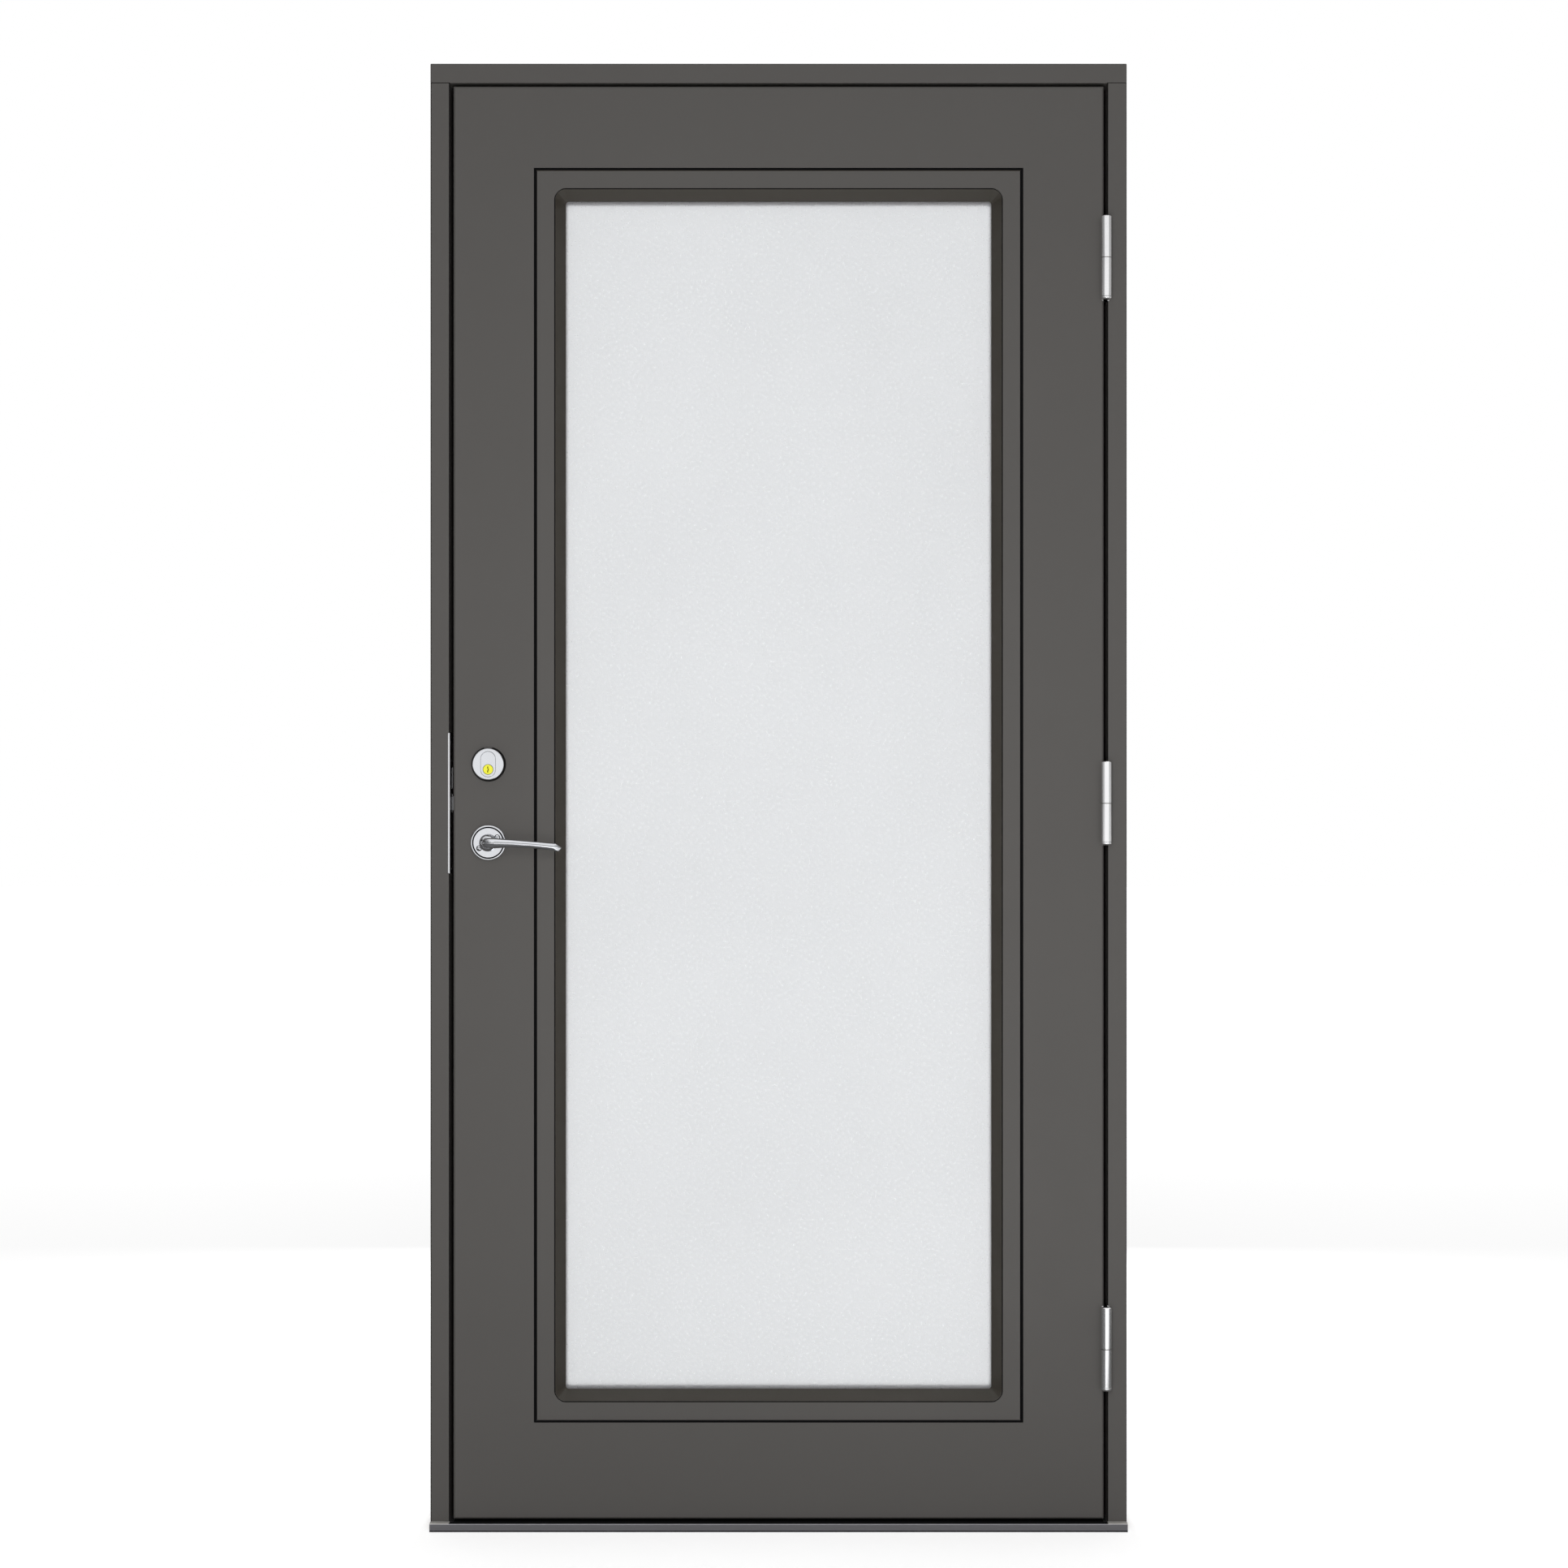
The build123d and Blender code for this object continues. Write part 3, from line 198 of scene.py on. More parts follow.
def round_edges(piece, width, segments=2, sharp=30, flat=True):
    """Rounds a piece's sharp edges and smooths between them. With flat, its faces stay flat."""
    apply(
        piece,
        "BEVEL",
        width=width,
        segments=segments,
        limit_method="ANGLE",
        angle_limit=radians(sharp),
    )
    bpy.ops.object.shade_smooth_by_angle(angle=radians(sharp + SMOOTH_MARGIN))
    if flat:
        apply(piece, "WEIGHTED_NORMAL", weight=100, keep_sharp=True)


def ease(name, width, material, segments=2, sharp=30, flat=True):
    """A piece that stands for a CAD node: its shape, with the edges rounded as a maker does."""
    node = nodes[name]
    piece = bpy.data.objects.new(f"{name}_eased", node.data.copy())
    bpy.context.scene.collection.objects.link(piece)
    pick(piece)
    bpy.ops.object.mode_set(mode="EDIT")
    bpy.ops.mesh.select_all(action="SELECT")
    bpy.ops.mesh.customdata_custom_splitnormals_clear()
    bpy.ops.mesh.remove_doubles(threshold=MERGE_REACH)
    bpy.ops.mesh.dissolve_limited(angle_limit=radians(FLAT_WITHIN))
    bpy.ops.object.mode_set(mode="OBJECT")
    round_edges(piece, width, segments, sharp, flat)
    piece.data.materials.clear()
    piece.data.materials.append(material)
    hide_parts(name)
    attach(piece, node["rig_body"])
    return piece


paint_pattern = sprayed_paint()
frame_paint = finish(
    "frame_satin_grey",
    paint_pattern,
    {"Color": tone(*FRAME_GREY), "Roughness": 0.42, "Peel Scale": 650.0},
    relief=0.00003,
    Specular_IOR_Level=0.3,
)
# Black for the sealed joints, and painted shade on edges and grooves that fall dark.
joint_sealer_and_painted_shade = finish(
    "joint_sealer_and_painted_shade",
    paint_pattern,
    {"Color": tone(*SEALER_AND_SHADE_BLACK), "Roughness": 0.6, "Peel Scale": 500.0},
    relief=0.00003,
    Specular_IOR_Level=0.05,
)


def recolor(piece, material, wanted):
    """Gives another material to the faces that a test picks by their place and normal."""
    piece.data.materials.append(material)
    number = len(piece.data.materials) - 1
    for face in piece.data.polygons:
        if wanted(face.center, face.normal):
            face.material_index = number


head_low, head_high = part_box("frame_head")


def slants(normal, most):
    """Whether a face looks outwards at a slant, up to a limit past which it looks straight out."""
    return SLANT_LEAST < -normal.y < most


def shaded_front_arris(center, normal):
    """The eased edges that run up the outer face of the jambs, and over the head, painted black as
    shade.
    """
    if center.y > head_low.y + EASED or not slants(normal, FRAME_SLANT_MOST):
        return False
    on_top = center.z > head_high.z - EASED and normal.z > LEANING
    return abs(normal.x) > LEANING or on_top


# Painted shade: the eased edges of the outer face are painted black as a dark outline.
for part in ("frame_head", "frame_jamb_lock_side", "frame_jamb_hinge_side"):
    recolor(ease(part, FRAME_ARRIS, frame_paint), joint_sealer_and_painted_shade, shaded_front_arris)


def settle(name, material):
    """Puts the new piece's place into its mesh, and gives it a name and a material."""
    piece = bpy.context.object
    pick(piece)
    bpy.ops.object.transform_apply(location=True, rotation=True, scale=True)
    piece.name = name
    piece.data.name = name
    piece.data.materials.clear()
    piece.data.materials.append(material)
    return piece


def bead(name, material, slot, body, low, high, width):
    """A bead between two corners, with its edges rounded."""
    bpy.ops.object.select_all(action="DESELECT")
    bpy.ops.mesh.primitive_cube_add(size=1, location=[(a + b) / 2 for a, b in zip(low, high)])
    bpy.context.object.scale = [b - a for a, b in zip(low, high)]
    piece = settle(name, material)
    round_edges(piece, width)
    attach(piece, body)


outside = head_high.x
jamb_inside = outside - JAMB_FACE
head_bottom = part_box("frame_jamb_lock_side")[1].z
for name, start, end in (("lock", -outside, -jamb_inside), ("hinge", jamb_inside, outside)):
    ends = (
        (start + JOINT_SINK, head_low.y + JOINT_SINK, head_bottom - JOINT_WIDTH / 2),
        (end - JOINT_SINK, head_low.y + JOINT_DEPTH, head_bottom + JOINT_WIDTH / 2),
    )
    bead(f"joint_seal_{name}_side", joint_sealer_and_painted_shade, "frame_paint", "frame", *ends, JOINT_ARRIS)


# Threshold: an extruded and anodised aluminium profile over a hardwood core, with a black strip let
# into it under the leaf's edge and an oiled hardwood board behind its upstand. The nose's top is
# black, partly black plastic and partly painted shade from the leaf. Light pads on it in front of
# the jambs are painted light where the top catches the light, and a dark bed along the nose's foot
# is painted shade.

PROFILE_GREY = (184, 183, 188)
PLASTIC_AND_SHADE_BLACK = (20, 20, 21)
OILED_LIGHT = (150, 104, 64)
OILED_DARK = (98, 60, 33)
LIT_PAD_GREY = (180, 178, 174)
PROFILE_ARRIS = 0.0004
BOARD_ARRIS = 0.0008
NOSE_SHADE_PROUD = 0.0002
NOSE_SHADE_DEPTH = 0.0018
NOSE_SHADE_HEIGHT = 0.0021
NOSE_SHADE_ARRIS = 0.0003
NOSE_STRIP_AND_SHADE_BACK = -0.0535
NOSE_TOP = 0.0115
PAD_DEPTH = 0.0134
PAD_RISE = 0.0006
PAD_ARRIS = 0.0002
SQUARE_ON = 0.9


def drawn_metal():
    """Drawn, turned or brushed metal: fine lines, long where the given line scale is low."""
    tree, given = start_pattern(
        "drawn_metal",
        {"Color": (0.6, 0.6, 0.6, 1.0), "Roughness": 0.3, "Line Scale": (1.0, 1.0, 1.0)},
    )
    place = put(tree, "TexCoord").outputs["Object"]
    drawn = put(tree, "VectorMath", {0: place, 1: given["Line Scale"]}, operation="MULTIPLY")
    lines = put(tree, "TexNoise", {"Vector": drawn.outputs["Vector"], "Scale": 1.0, "Detail": 3.0})
    color = uneven(tree, given["Color"], place, scale=20.0, spread=0.02)
    gloss = uneven_gloss(tree, given["Roughness"], lines.outputs["Fac"], spread=0.02)
    return end_pattern(tree, color, gloss, lines.outputs["Fac"])


def moulded_grain():
    """Moulded plastic, rubber or foam: a fine pebbled grain with a little dust on it."""
    tree, given = start_pattern(
        "moulded_grain", {"Color": (0.02, 0.02, 0.02, 1.0), "Roughness": 0.6, "Grain Scale": 1500.0}
    )
    place = put(tree, "TexCoord").outputs["Object"]
    pebbles = put(tree, "TexVoronoi", {"Vector": place, "Scale": given["Grain Scale"]})
    dust = put(tree, "TexNoise", {"Vector": place, "Scale": 40.0, "Detail": 5.0})
    color = uneven(tree, given["Color"], place, scale=60.0, spread=0.08)
    gloss = uneven_gloss(tree, given["Roughness"], dust.outputs["Fac"], spread=0.06)
    return end_pattern(tree, color, gloss, pebbles.outputs["Distance"])


def wood_grain():
    """Planed wood: growth rings drawn out along the piece, with fine pores."""
    tree, given = start_pattern(
        "wood_grain",
        {
            "Early Wood": (0.6, 0.4, 0.2, 1.0),
            "Late Wood": (0.3, 0.2, 0.1, 1.0),
            "Roughness": 0.5,
            "Growth Scale": (1.0, 1.0, 1.0),
        },
    )
    place = put(tree, "TexCoord").outputs["Object"]
    grown = put(tree, "VectorMath", {0: place, 1: given["Growth Scale"]}, operation="MULTIPLY")
    drift = {"Vector": grown.outputs["Vector"], "Scale": 1.0, "Distortion": 5.0, "Detail": 3.0}
    rings = put(tree, "TexWave", drift, wave_type="RINGS")
    pores = put(tree, "TexNoise", {"Vector": grown.outputs["Vector"], "Scale": 9.0, "Detail": 6.0})
    grain = {0: rings.outputs["Fac"], 1: pores.outputs["Fac"]}
    late = put(tree, "Math", grain, operation="MULTIPLY").outputs["Value"]
    blend = {"Factor": late, 6: given["Early Wood"], 7: given["Late Wood"]}
    color = put(tree, "Mix", blend, data_type="RGBA").outputs[2]
    gloss = uneven_gloss(tree, given["Roughness"], pores.outputs["Fac"], spread=0.08)
    return end_pattern(tree, color, gloss, pores.outputs["Fac"])


metal_pattern = drawn_metal()
grain_pattern = moulded_grain()
wood_pattern = wood_grain()
profile_metal = finish(
    "threshold_anodised",
    metal_pattern,
    {"Color": tone(*PROFILE_GREY), "Roughness": 0.4, "Line Scale": (2.0, 1800.0, 1800.0)},
    relief=0.00002,
    Metallic=1.0,
)
black_plastic_and_shade = finish(
    "ribbed_black_plastic_and_shade",
    grain_pattern,
    {"Color": tone(*PLASTIC_AND_SHADE_BLACK), "Roughness": 0.6, "Grain Scale": 900.0},
    relief=0.00008,
    Specular_IOR_Level=0.15,
)
dress(black_plastic_and_shade, "threshold_wear_strip")
profile = ease("threshold_profile", PROFILE_ARRIS, profile_metal)
# The nose's top is cut off and made black: black plastic, and painted shade where the leaf shades
# it.
bpy.ops.object.mode_set(mode="EDIT")
bpy.ops.mesh.select_all(action="SELECT")
bpy.ops.mesh.bisect(plane_co=(0, NOSE_STRIP_AND_SHADE_BACK, 0), plane_no=(0, 1, 0))
bpy.ops.object.mode_set(mode="OBJECT")
recolor(
    profile,
    black_plastic_and_shade,
    lambda center, normal: center.y < NOSE_STRIP_AND_SHADE_BACK and normal.z > SQUARE_ON,
)
nose, nose_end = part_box("threshold_profile")
# A dark bed along the foot of the nose: painted shade under its front edge.
ends = (nose.x, nose.y - NOSE_SHADE_PROUD, 0.0), (nose_end.x, nose.y + NOSE_SHADE_DEPTH, NOSE_SHADE_HEIGHT)
bead("threshold_nose_shade", black_plastic_and_shade, "black_plastic", "frame", *ends, NOSE_SHADE_ARRIS)
# Light pads in front of the jambs: painted light, where the nose's top catches the light.
lit_pad_plastic = finish(
    "pad_painted_light_grey",
    grain_pattern,
    {"Color": tone(*LIT_PAD_GREY), "Roughness": 0.5, "Grain Scale": 900.0},
    relief=0.00003,
)
for name, start, end in (("lock", nose.x, -jamb_inside), ("hinge", jamb_inside, nose_end.x)):
    ends = (
        (start, nose.y + NOSE_SHADE_PROUD, NOSE_TOP - PAD_RISE),
        (end, nose.y + PAD_DEPTH, NOSE_TOP + PAD_RISE),
    )
    bead(f"sill_lit_pad_{name}_side", lit_pad_plastic, "black_plastic", "frame", *ends, PAD_ARRIS)
oiled_wood = finish(
    "oiled_hardwood",
    wood_pattern,
    {
        "Early Wood": tone(*OILED_LIGHT),
        "Late Wood": tone(*OILED_DARK),
        "Roughness": 0.42,
        "Growth Scale": (1.2, 70.0, 70.0),
    },
    relief=0.00006,
)
dress(oiled_wood, "threshold_core")
ease("threshold_inner_board", BOARD_ARRIS, oiled_wood)


# Wall fixings: zinc-plated steel sleeves that screw out of the jambs against the wall, so that the
# frame can be set plumb before the wall screws are driven through them.

SLEEVE_GREY = (178, 180, 184)

sleeve_zinc = finish(
    "sleeve_zinc",
    metal_pattern,
    {"Color": tone(*SLEEVE_GREY), "Roughness": 0.34, "Line Scale": (900.0, 90.0, 90.0)},
    relief=0.00002,
    Metallic=1.0,
)
dress(sleeve_zinc, "frame_fixing_sleeves")


# Seals: one loop of soft black rubber pressed into the stop, and a sweep with a lip in a groove
# under the leaf.

RUBBER_BLACK = (14, 14, 15)
SEAL_ARRIS = 0.0005

seal_rubber = finish(
    "seal_rubber",
    grain_pattern,
    {"Color": tone(*RUBBER_BLACK), "Roughness": 0.75, "Grain Scale": 1300.0},
    relief=0.00005,
    Specular_IOR_Level=0.05,
)
ease("frame_weather_seal", SEAL_ARRIS, seal_rubber)
dress(seal_rubber, "leaf_bottom_sweep")


# Strike plate and its box: a satin steel plate let into the lock-side jamb with four countersunk
# screws, over a black plastic box that keeps dust out of the bolts' pockets.

PLATE_GREY = (226, 227, 229)
SCREW_GREY = (205, 206, 208)
PLATE_ARRIS = 0.0003
STRIKE_RISES = (-0.090, -0.063, 0.063, 0.090)
SCREW_SIDES = 32
SCREW_ARRIS = 0.00012
SCREW_HEAD_RADIUS = 0.0041
SCREW_NECK_RADIUS = 0.0021
SCREW_HEAD_DEPTH = 0.0021
RECESS_TURNS = (45, 135)
RECESS_LENGTH = 0.0046
RECESS_WIDTH = 0.0009
RECESS_DEPTH = 0.0014
SCREW_SINK = 0.0001

plate_steel = finish(
    "plate_satin_steel",
    metal_pattern,
    {"Color": tone(*PLATE_GREY), "Roughness": 0.3, "Line Scale": (60.0, 60.0, 2400.0)},
    relief=0.00001,
    Metallic=1.0,
)
ease("strike_plate", PLATE_ARRIS, plate_steel)
dress(black_plastic_and_shade, "strike_box")
screw_steel = finish(
    "screw_steel",
    metal_pattern,
    {"Color": tone(*SCREW_GREY), "Roughness": 0.28, "Line Scale": (300.0, 300.0, 300.0)},
    relief=0.00001,
    Metallic=1.0,
)


def countersunk_screw():
    """One countersunk head that faces +X, with a crossed recess and its top at the origin."""
    bpy.ops.object.select_all(action="DESELECT")
    bpy.ops.mesh.primitive_cone_add(
        vertices=SCREW_SIDES,
        radius1=SCREW_NECK_RADIUS,
        radius2=SCREW_HEAD_RADIUS,
        depth=SCREW_HEAD_DEPTH,
        location=(-SCREW_HEAD_DEPTH / 2, 0, 0),
        rotation=(0, radians(90), 0),
    )
    head = settle("screw_model", screw_steel)
    for turn in RECESS_TURNS:
        bpy.ops.object.select_all(action="DESELECT")
        bpy.ops.mesh.primitive_cube_add(size=1, rotation=(radians(turn), 0, 0))
        bpy.context.object.scale = (RECESS_DEPTH * 2, RECESS_LENGTH, RECESS_WIDTH)
        cutter = settle("screw_recess", screw_steel)
        apply(head, "BOOLEAN", object=cutter, operation="DIFFERENCE")
        bpy.data.objects.remove(cutter)
    round_edges(head, SCREW_ARRIS)
    return head


def copy_of(piece, name, place, body):
    """A copy of a finished piece, with its own mesh, moved by a matrix."""
    twin = bpy.data.objects.new(name, piece.data.copy())
    bpy.context.scene.collection.objects.link(twin)
    twin.data.transform(place)
    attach(twin, body)


def middle_of(name, axis):
    low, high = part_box(name)
    return (low[axis] + high[axis]) / 2


screw_model = countersunk_screw()
turned_round = Matrix.Rotation(radians(180), 4, "Z")
strike_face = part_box("strike_plate")[1].x
lock_line = middle_of("latch_bolt", 1)
lock_middle = middle_of("strike_plate", 2)
for number, rise in enumerate(STRIKE_RISES, start=1):
    place = Matrix.Translation((strike_face - SCREW_SINK, lock_line, lock_middle + rise))
    copy_of(screw_model, f"strike_screw_{number}", place, "frame")


# Hinges: three lift-off hinges of satin steel. The leaf's knuckle drops over a pin in the frame's
# knuckle and turns on a thin bronze washer. Each plate is held by three countersunk screws.

HINGE_WHITE = (252, 252, 253)
WASHER_BROWN = (88, 82, 72)
HINGE_ARRIS = 0.0003
CAP_ARRIS = 0.0006
HINGE_PLATE = 0.0025
HINGE_SCREW_LINE = 0.025
HINGE_SCREW_RISES = (-0.042, 0.0, 0.042)

hinge_steel = finish(
    "hinge_satin_steel",
    metal_pattern,
    {"Color": tone(*HINGE_WHITE), "Roughness": 0.18, "Line Scale": (90.0, 90.0, 1500.0)},
    relief=0.000005,
    Metallic=1.0,
)
washer_bronze = finish(
    "washer_bronze",
    metal_pattern,
    {"Color": tone(*WASHER_BROWN), "Roughness": 0.4, "Line Scale": (400.0, 400.0, 400.0)},
    relief=0.00001,
    Metallic=1.0,
)
ease("hinge_pins", HINGE_ARRIS, hinge_steel)
ease("hinge_end_caps", CAP_ARRIS, hinge_steel)
dress(washer_bronze, "hinge_washers")
opening_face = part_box("hinge_frame_half_lower")[1].x - HINGE_PLATE
leaf_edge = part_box("leaf_hinge_stile")[1].x
jamb_screw_line = head_low.y + HINGE_SCREW_LINE
leaf_screw_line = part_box("leaf_outer_skin")[0].y + HINGE_SCREW_LINE
for seat in ("lower", "middle", "upper"):
    ease(f"hinge_frame_half_{seat}", HINGE_ARRIS, hinge_steel)
    ease(f"hinge_leaf_half_{seat}", HINGE_ARRIS, hinge_steel)
    seam = middle_of(f"hinge_frame_half_{seat}", 2)
    for number, rise in enumerate(HINGE_SCREW_RISES, start=1):
        place = Matrix.Translation((opening_face + SCREW_SINK, jamb_screw_line, seam + rise))
        name = f"hinge_{seat}_jamb_screw_{number}"
        copy_of(screw_model, name, place @ turned_round, "frame")
        place = Matrix.Translation((leaf_edge - SCREW_SINK, leaf_screw_line, seam + rise))
        copy_of(screw_model, f"hinge_{seat}_leaf_screw_{number}", place, "leaf")


# Leaf: pine stiles and rails round rigid foam boards, glued up with a weatherproof skin on each
# side and sprayed all over. The skins' edges are eased, and the stiles' edges are painted too.

LEAF_GREY = (82, 80, 78)
LEAF_ARRIS = 0.0008
FOAM_CREAM = (222, 214, 190)

leaf_paint = finish(
    "leaf_satin_grey",
    paint_pattern,
    {"Color": tone(*LEAF_GREY), "Roughness": 0.4, "Peel Scale": 800.0},
    relief=0.000025,
    Specular_IOR_Level=0.3,
)
ease("leaf_outer_skin", LEAF_ARRIS, leaf_paint)
ease("leaf_inner_skin", LEAF_ARRIS, leaf_paint)
dress(leaf_paint, "leaf_lock_stile", "leaf_hinge_stile", "leaf_top_rail", "leaf_bottom_rail")
foam_board = finish(
    "rigid_foam",
    grain_pattern,
    {"Color": tone(*FOAM_CREAM), "Roughness": 0.85, "Grain Scale": 500.0},
    relief=0.0002,
)
dress(foam_board, "leaf_insulation")


# Glazing frames: pressed from painted sheet, with a flat face, a fine groove and a bevel that runs
# down to the glass with rounded corners. The bevel is a dark bronze grey, partly its own tone and
# partly painted shade, and is painted lighter where it is level, as painted light. The fine groove
# and the outer edge's side chamfers are painted black as shade, and the top chamfer darker as
# shade. A black rubber ring fills the groove round the outer frame, as painted shade for a deep
# gap.

BEVEL_BRONZE_AND_SHADE_GREY = (61, 57, 51)
LIT_LEVEL_BEVEL_GREY = (71, 68, 63)
GLAZING_ARRIS = 0.0003
INNER_GLAZING_ARRIS = 0.0006
GLAZING_SHARP = 25
PANE_COVER = 0.021
BEVEL_WIDTH = 0.0131
BEVEL_SLANT_MOST = 0.9
QUIRK_REACH = 0.0022
QUIRK_DEPTH = 0.0016
SAME_DEPTH = 0.0002
EDGE_MARGIN = 0.0388
CHAMFER_SLANT_MOST = 0.95
GROOVE_GAP = 0.00225
GROOVE_WIDTH = 0.0046
GROOVE_DEPTH = 0.004
GROOVE_SINK = 0.0014
GASKET_ARRIS = 0.0002

dress(leaf_paint, "glazing_liner")
glazing_paint = finish(
    "glazing_satin_grey",
    paint_pattern,
    {"Color": tone(*LEAF_GREY), "Roughness": 0.38, "Peel Scale": 900.0},
    relief=0.00002,
    Specular_IOR_Level=0.3,
)
bevel_bronze_and_painted_shade = finish(
    "bevel_bronze_grey_and_painted_shade",
    paint_pattern,
    {"Color": tone(*BEVEL_BRONZE_AND_SHADE_GREY), "Roughness": 0.45, "Peel Scale": 900.0},
    relief=0.00002,
    Specular_IOR_Level=0.2,
)
level_bevel_painted_light = finish(
    "level_bevel_bronze_painted_light",
    paint_pattern,
    {"Color": tone(*LIT_LEVEL_BEVEL_GREY), "Roughness": 0.45, "Peel Scale": 900.0},
    relief=0.00002,
    Specular_IOR_Level=0.2,
)
pane_low, pane_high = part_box("outer_pane")
glass_across = pane_high.x - PANE_COVER
glass_up = (pane_high.z - pane_low.z) / 2 - PANE_COVER
glass_middle = (pane_high.z + pane_low.z) / 2
glazing_low, glazing_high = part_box("outer_glazing_frame")


def beyond_glass(center):
    """How far a place on the outer glazing frame lies outside the glass that shows."""
    return max(abs(center.x) - glass_across, abs(center.z - glass_middle) - glass_up)


def in_bevel(center, normal):
    return beyond_glass(center) < BEVEL_WIDTH and slants(normal, BEVEL_SLANT_MOST)


def in_level_bevel(center, normal):
    """The bevel along the top and the bottom."""
    return in_bevel(center, normal) and abs(normal.z) > abs(normal.x)


def in_quirk(center, normal):
    """The fine groove round the bevel, painted black as the shade in it."""
    floor = glazing_low.y + QUIRK_DEPTH
    in_floor = normal.y < -SQUARE_ON and abs(center.y - floor) < SAME_DEPTH
    in_wall = BEVEL_WIDTH < beyond_glass(center) < BEVEL_WIDTH + QUIRK_REACH
    return in_floor or (in_wall and center.y < floor)


def in_chamfer(center, normal):
    """The chamfer on the outer edge."""
    return beyond_glass(center) > EDGE_MARGIN and slants(normal, CHAMFER_SLANT_MOST)


def shaded_side_chamfer(center, normal):
    return in_chamfer(center, normal) and abs(normal.x) > LEANING


def shaded_top_chamfer(center, normal):
    return in_chamfer(center, normal) and normal.z > LEANING


outer_frame = ease("outer_glazing_frame", GLAZING_ARRIS, glazing_paint, sharp=GLAZING_SHARP)
# The bevel gets a darker paint: its own bronze tone and painted shade.
recolor(outer_frame, bevel_bronze_and_painted_shade, in_bevel)
# Painted light: the level bevels along the top and the bottom are painted lighter, as they catch
# more light.
recolor(outer_frame, level_bevel_painted_light, in_level_bevel)
# Painted shade: the fine groove is painted black.
recolor(outer_frame, joint_sealer_and_painted_shade, in_quirk)
# Painted shade on the outer chamfer: black along the sides, darker bronze grey along the top.
recolor(outer_frame, joint_sealer_and_painted_shade, shaded_side_chamfer)
recolor(outer_frame, bevel_bronze_and_painted_shade, shaded_top_chamfer)
ease("inner_glazing_frame", INNER_GLAZING_ARRIS, glazing_paint, sharp=GLAZING_SHARP)


def flat_ring(name, material, low, high, width, depth):
    """A rectangular ring between two corners that faces outside, with a width and a depth."""
    bpy.ops.object.select_all(action="DESELECT")
    middle = (low + high) / 2
    bpy.ops.mesh.primitive_plane_add(size=1, location=middle, rotation=(radians(90), 0, 0))
    bpy.context.object.scale = (high.x - low.x, high.z - low.z, 1)
    ring = settle(name, material)
    bpy.ops.object.mode_set(mode="EDIT")
    bpy.ops.mesh.select_all(action="SELECT")
    bpy.ops.mesh.inset(thickness=width)
    bpy.ops.mesh.delete(type="FACE")
    bpy.ops.object.mode_set(mode="OBJECT")
    apply(ring, "SOLIDIFY", thickness=depth, offset=-1)
    round_edges(ring, GASKET_ARRIS)
    return ring


# A black rubber ring in the groove: painted shade, the dark of a deep gap.
outward = Vector((GROOVE_GAP, 0, GROOVE_GAP))
front = Vector((0, glazing_low.y + GROOVE_SINK, 0))
flat = Vector((1, 0, 1))
ring = flat_ring(
    "groove_shade_gasket",
    seal_rubber,
    glazing_low * flat - outward + front,
    glazing_high * flat + outward + front,
    GROOVE_WIDTH,
    GROOVE_DEPTH,
)
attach(ring, "leaf")


# Glass: a sealed unit of three panes on spacer bars, bedded between two rubber gaskets. The outer
# pane is acid-etched, so it lets light through but no view, and the other two are clear.

ETCHED_WHITE = (250, 249, 252)
CLEAR_WHITE = (250, 252, 251)
SPACER_GREY = (180, 181, 184)


def etched_glass():
    """Acid-etched glass: a fine, even frost with the faintest clouds in it."""
    tree, given = start_pattern(
        "etched_glass", {"Color": (0.9, 0.9, 0.9, 1.0), "Roughness": 0.5, "Frost Scale": 400.0}
    )
    place = put(tree, "TexCoord").outputs["Object"]
    frost = put(tree, "TexNoise", {"Vector": place, "Scale": given["Frost Scale"], "Detail": 4.0})
    gain = spread_out(tree, frost.outputs["Fac"], low=0.985, high=1.015)
    color = put(tree, "VectorMath", {0: given["Color"], "Scale": gain}, operation="SCALE")
    gloss = uneven_gloss(tree, given["Roughness"], frost.outputs["Fac"], spread=0.04)
    return end_pattern(tree, color.outputs["Vector"], gloss, frost.outputs["Fac"])


frost_pattern = etched_glass()
etched = finish(
    "etched_glass_outer",
    frost_pattern,
    {"Color": tone(*ETCHED_WHITE), "Roughness": 0.3, "Frost Scale": 350.0},
    relief=0.00006,
    Transmission_Weight=0.85,
    IOR=1.5,
)
clear = finish(
    "clear_glass",
    frost_pattern,
    {"Color": tone(*CLEAR_WHITE), "Roughness": 0.02, "Frost Scale": 3.0},
    relief=0.0,
    Transmission_Weight=1.0,
    IOR=1.5,
)
dress(etched, "outer_pane")
dress(clear, "middle_pane", "inner_pane")
spacer_metal = finish(
    "spacer_aluminium",
    metal_pattern,
    {"Color": tone(*SPACER_GREY), "Roughness": 0.45, "Line Scale": (40.0, 900.0, 40.0)},
    relief=0.00003,
    Metallic=1.0,
)
dress(spacer_metal, "outer_spacer", "inner_spacer")
dress(seal_rubber, "outer_gasket", "inner_gasket")
dress(black_plastic_and_shade, "setting_blocks")


# Lock: a zinc-plated steel case in the lock-side stile behind a satin steel forend with rounded
# ends, held by two countersunk screws. The latch is bevelled on the side that meets the strike.

CASE_GREY = (160, 161, 160)
BOLT_SHADE_GREY = (120, 120, 122)
LATCH_ARRIS = 0.0006
DEADBOLT_ARRIS = 0.0005
FOREND_SCREW_RISE = 0.109

case_zinc = finish(
    "case_zinc",
    metal_pattern,
    {"Color": tone(*CASE_GREY), "Roughness": 0.42, "Line Scale": (90.0, 500.0, 90.0)},
    relief=0.00003,
    Metallic=1.0,
)
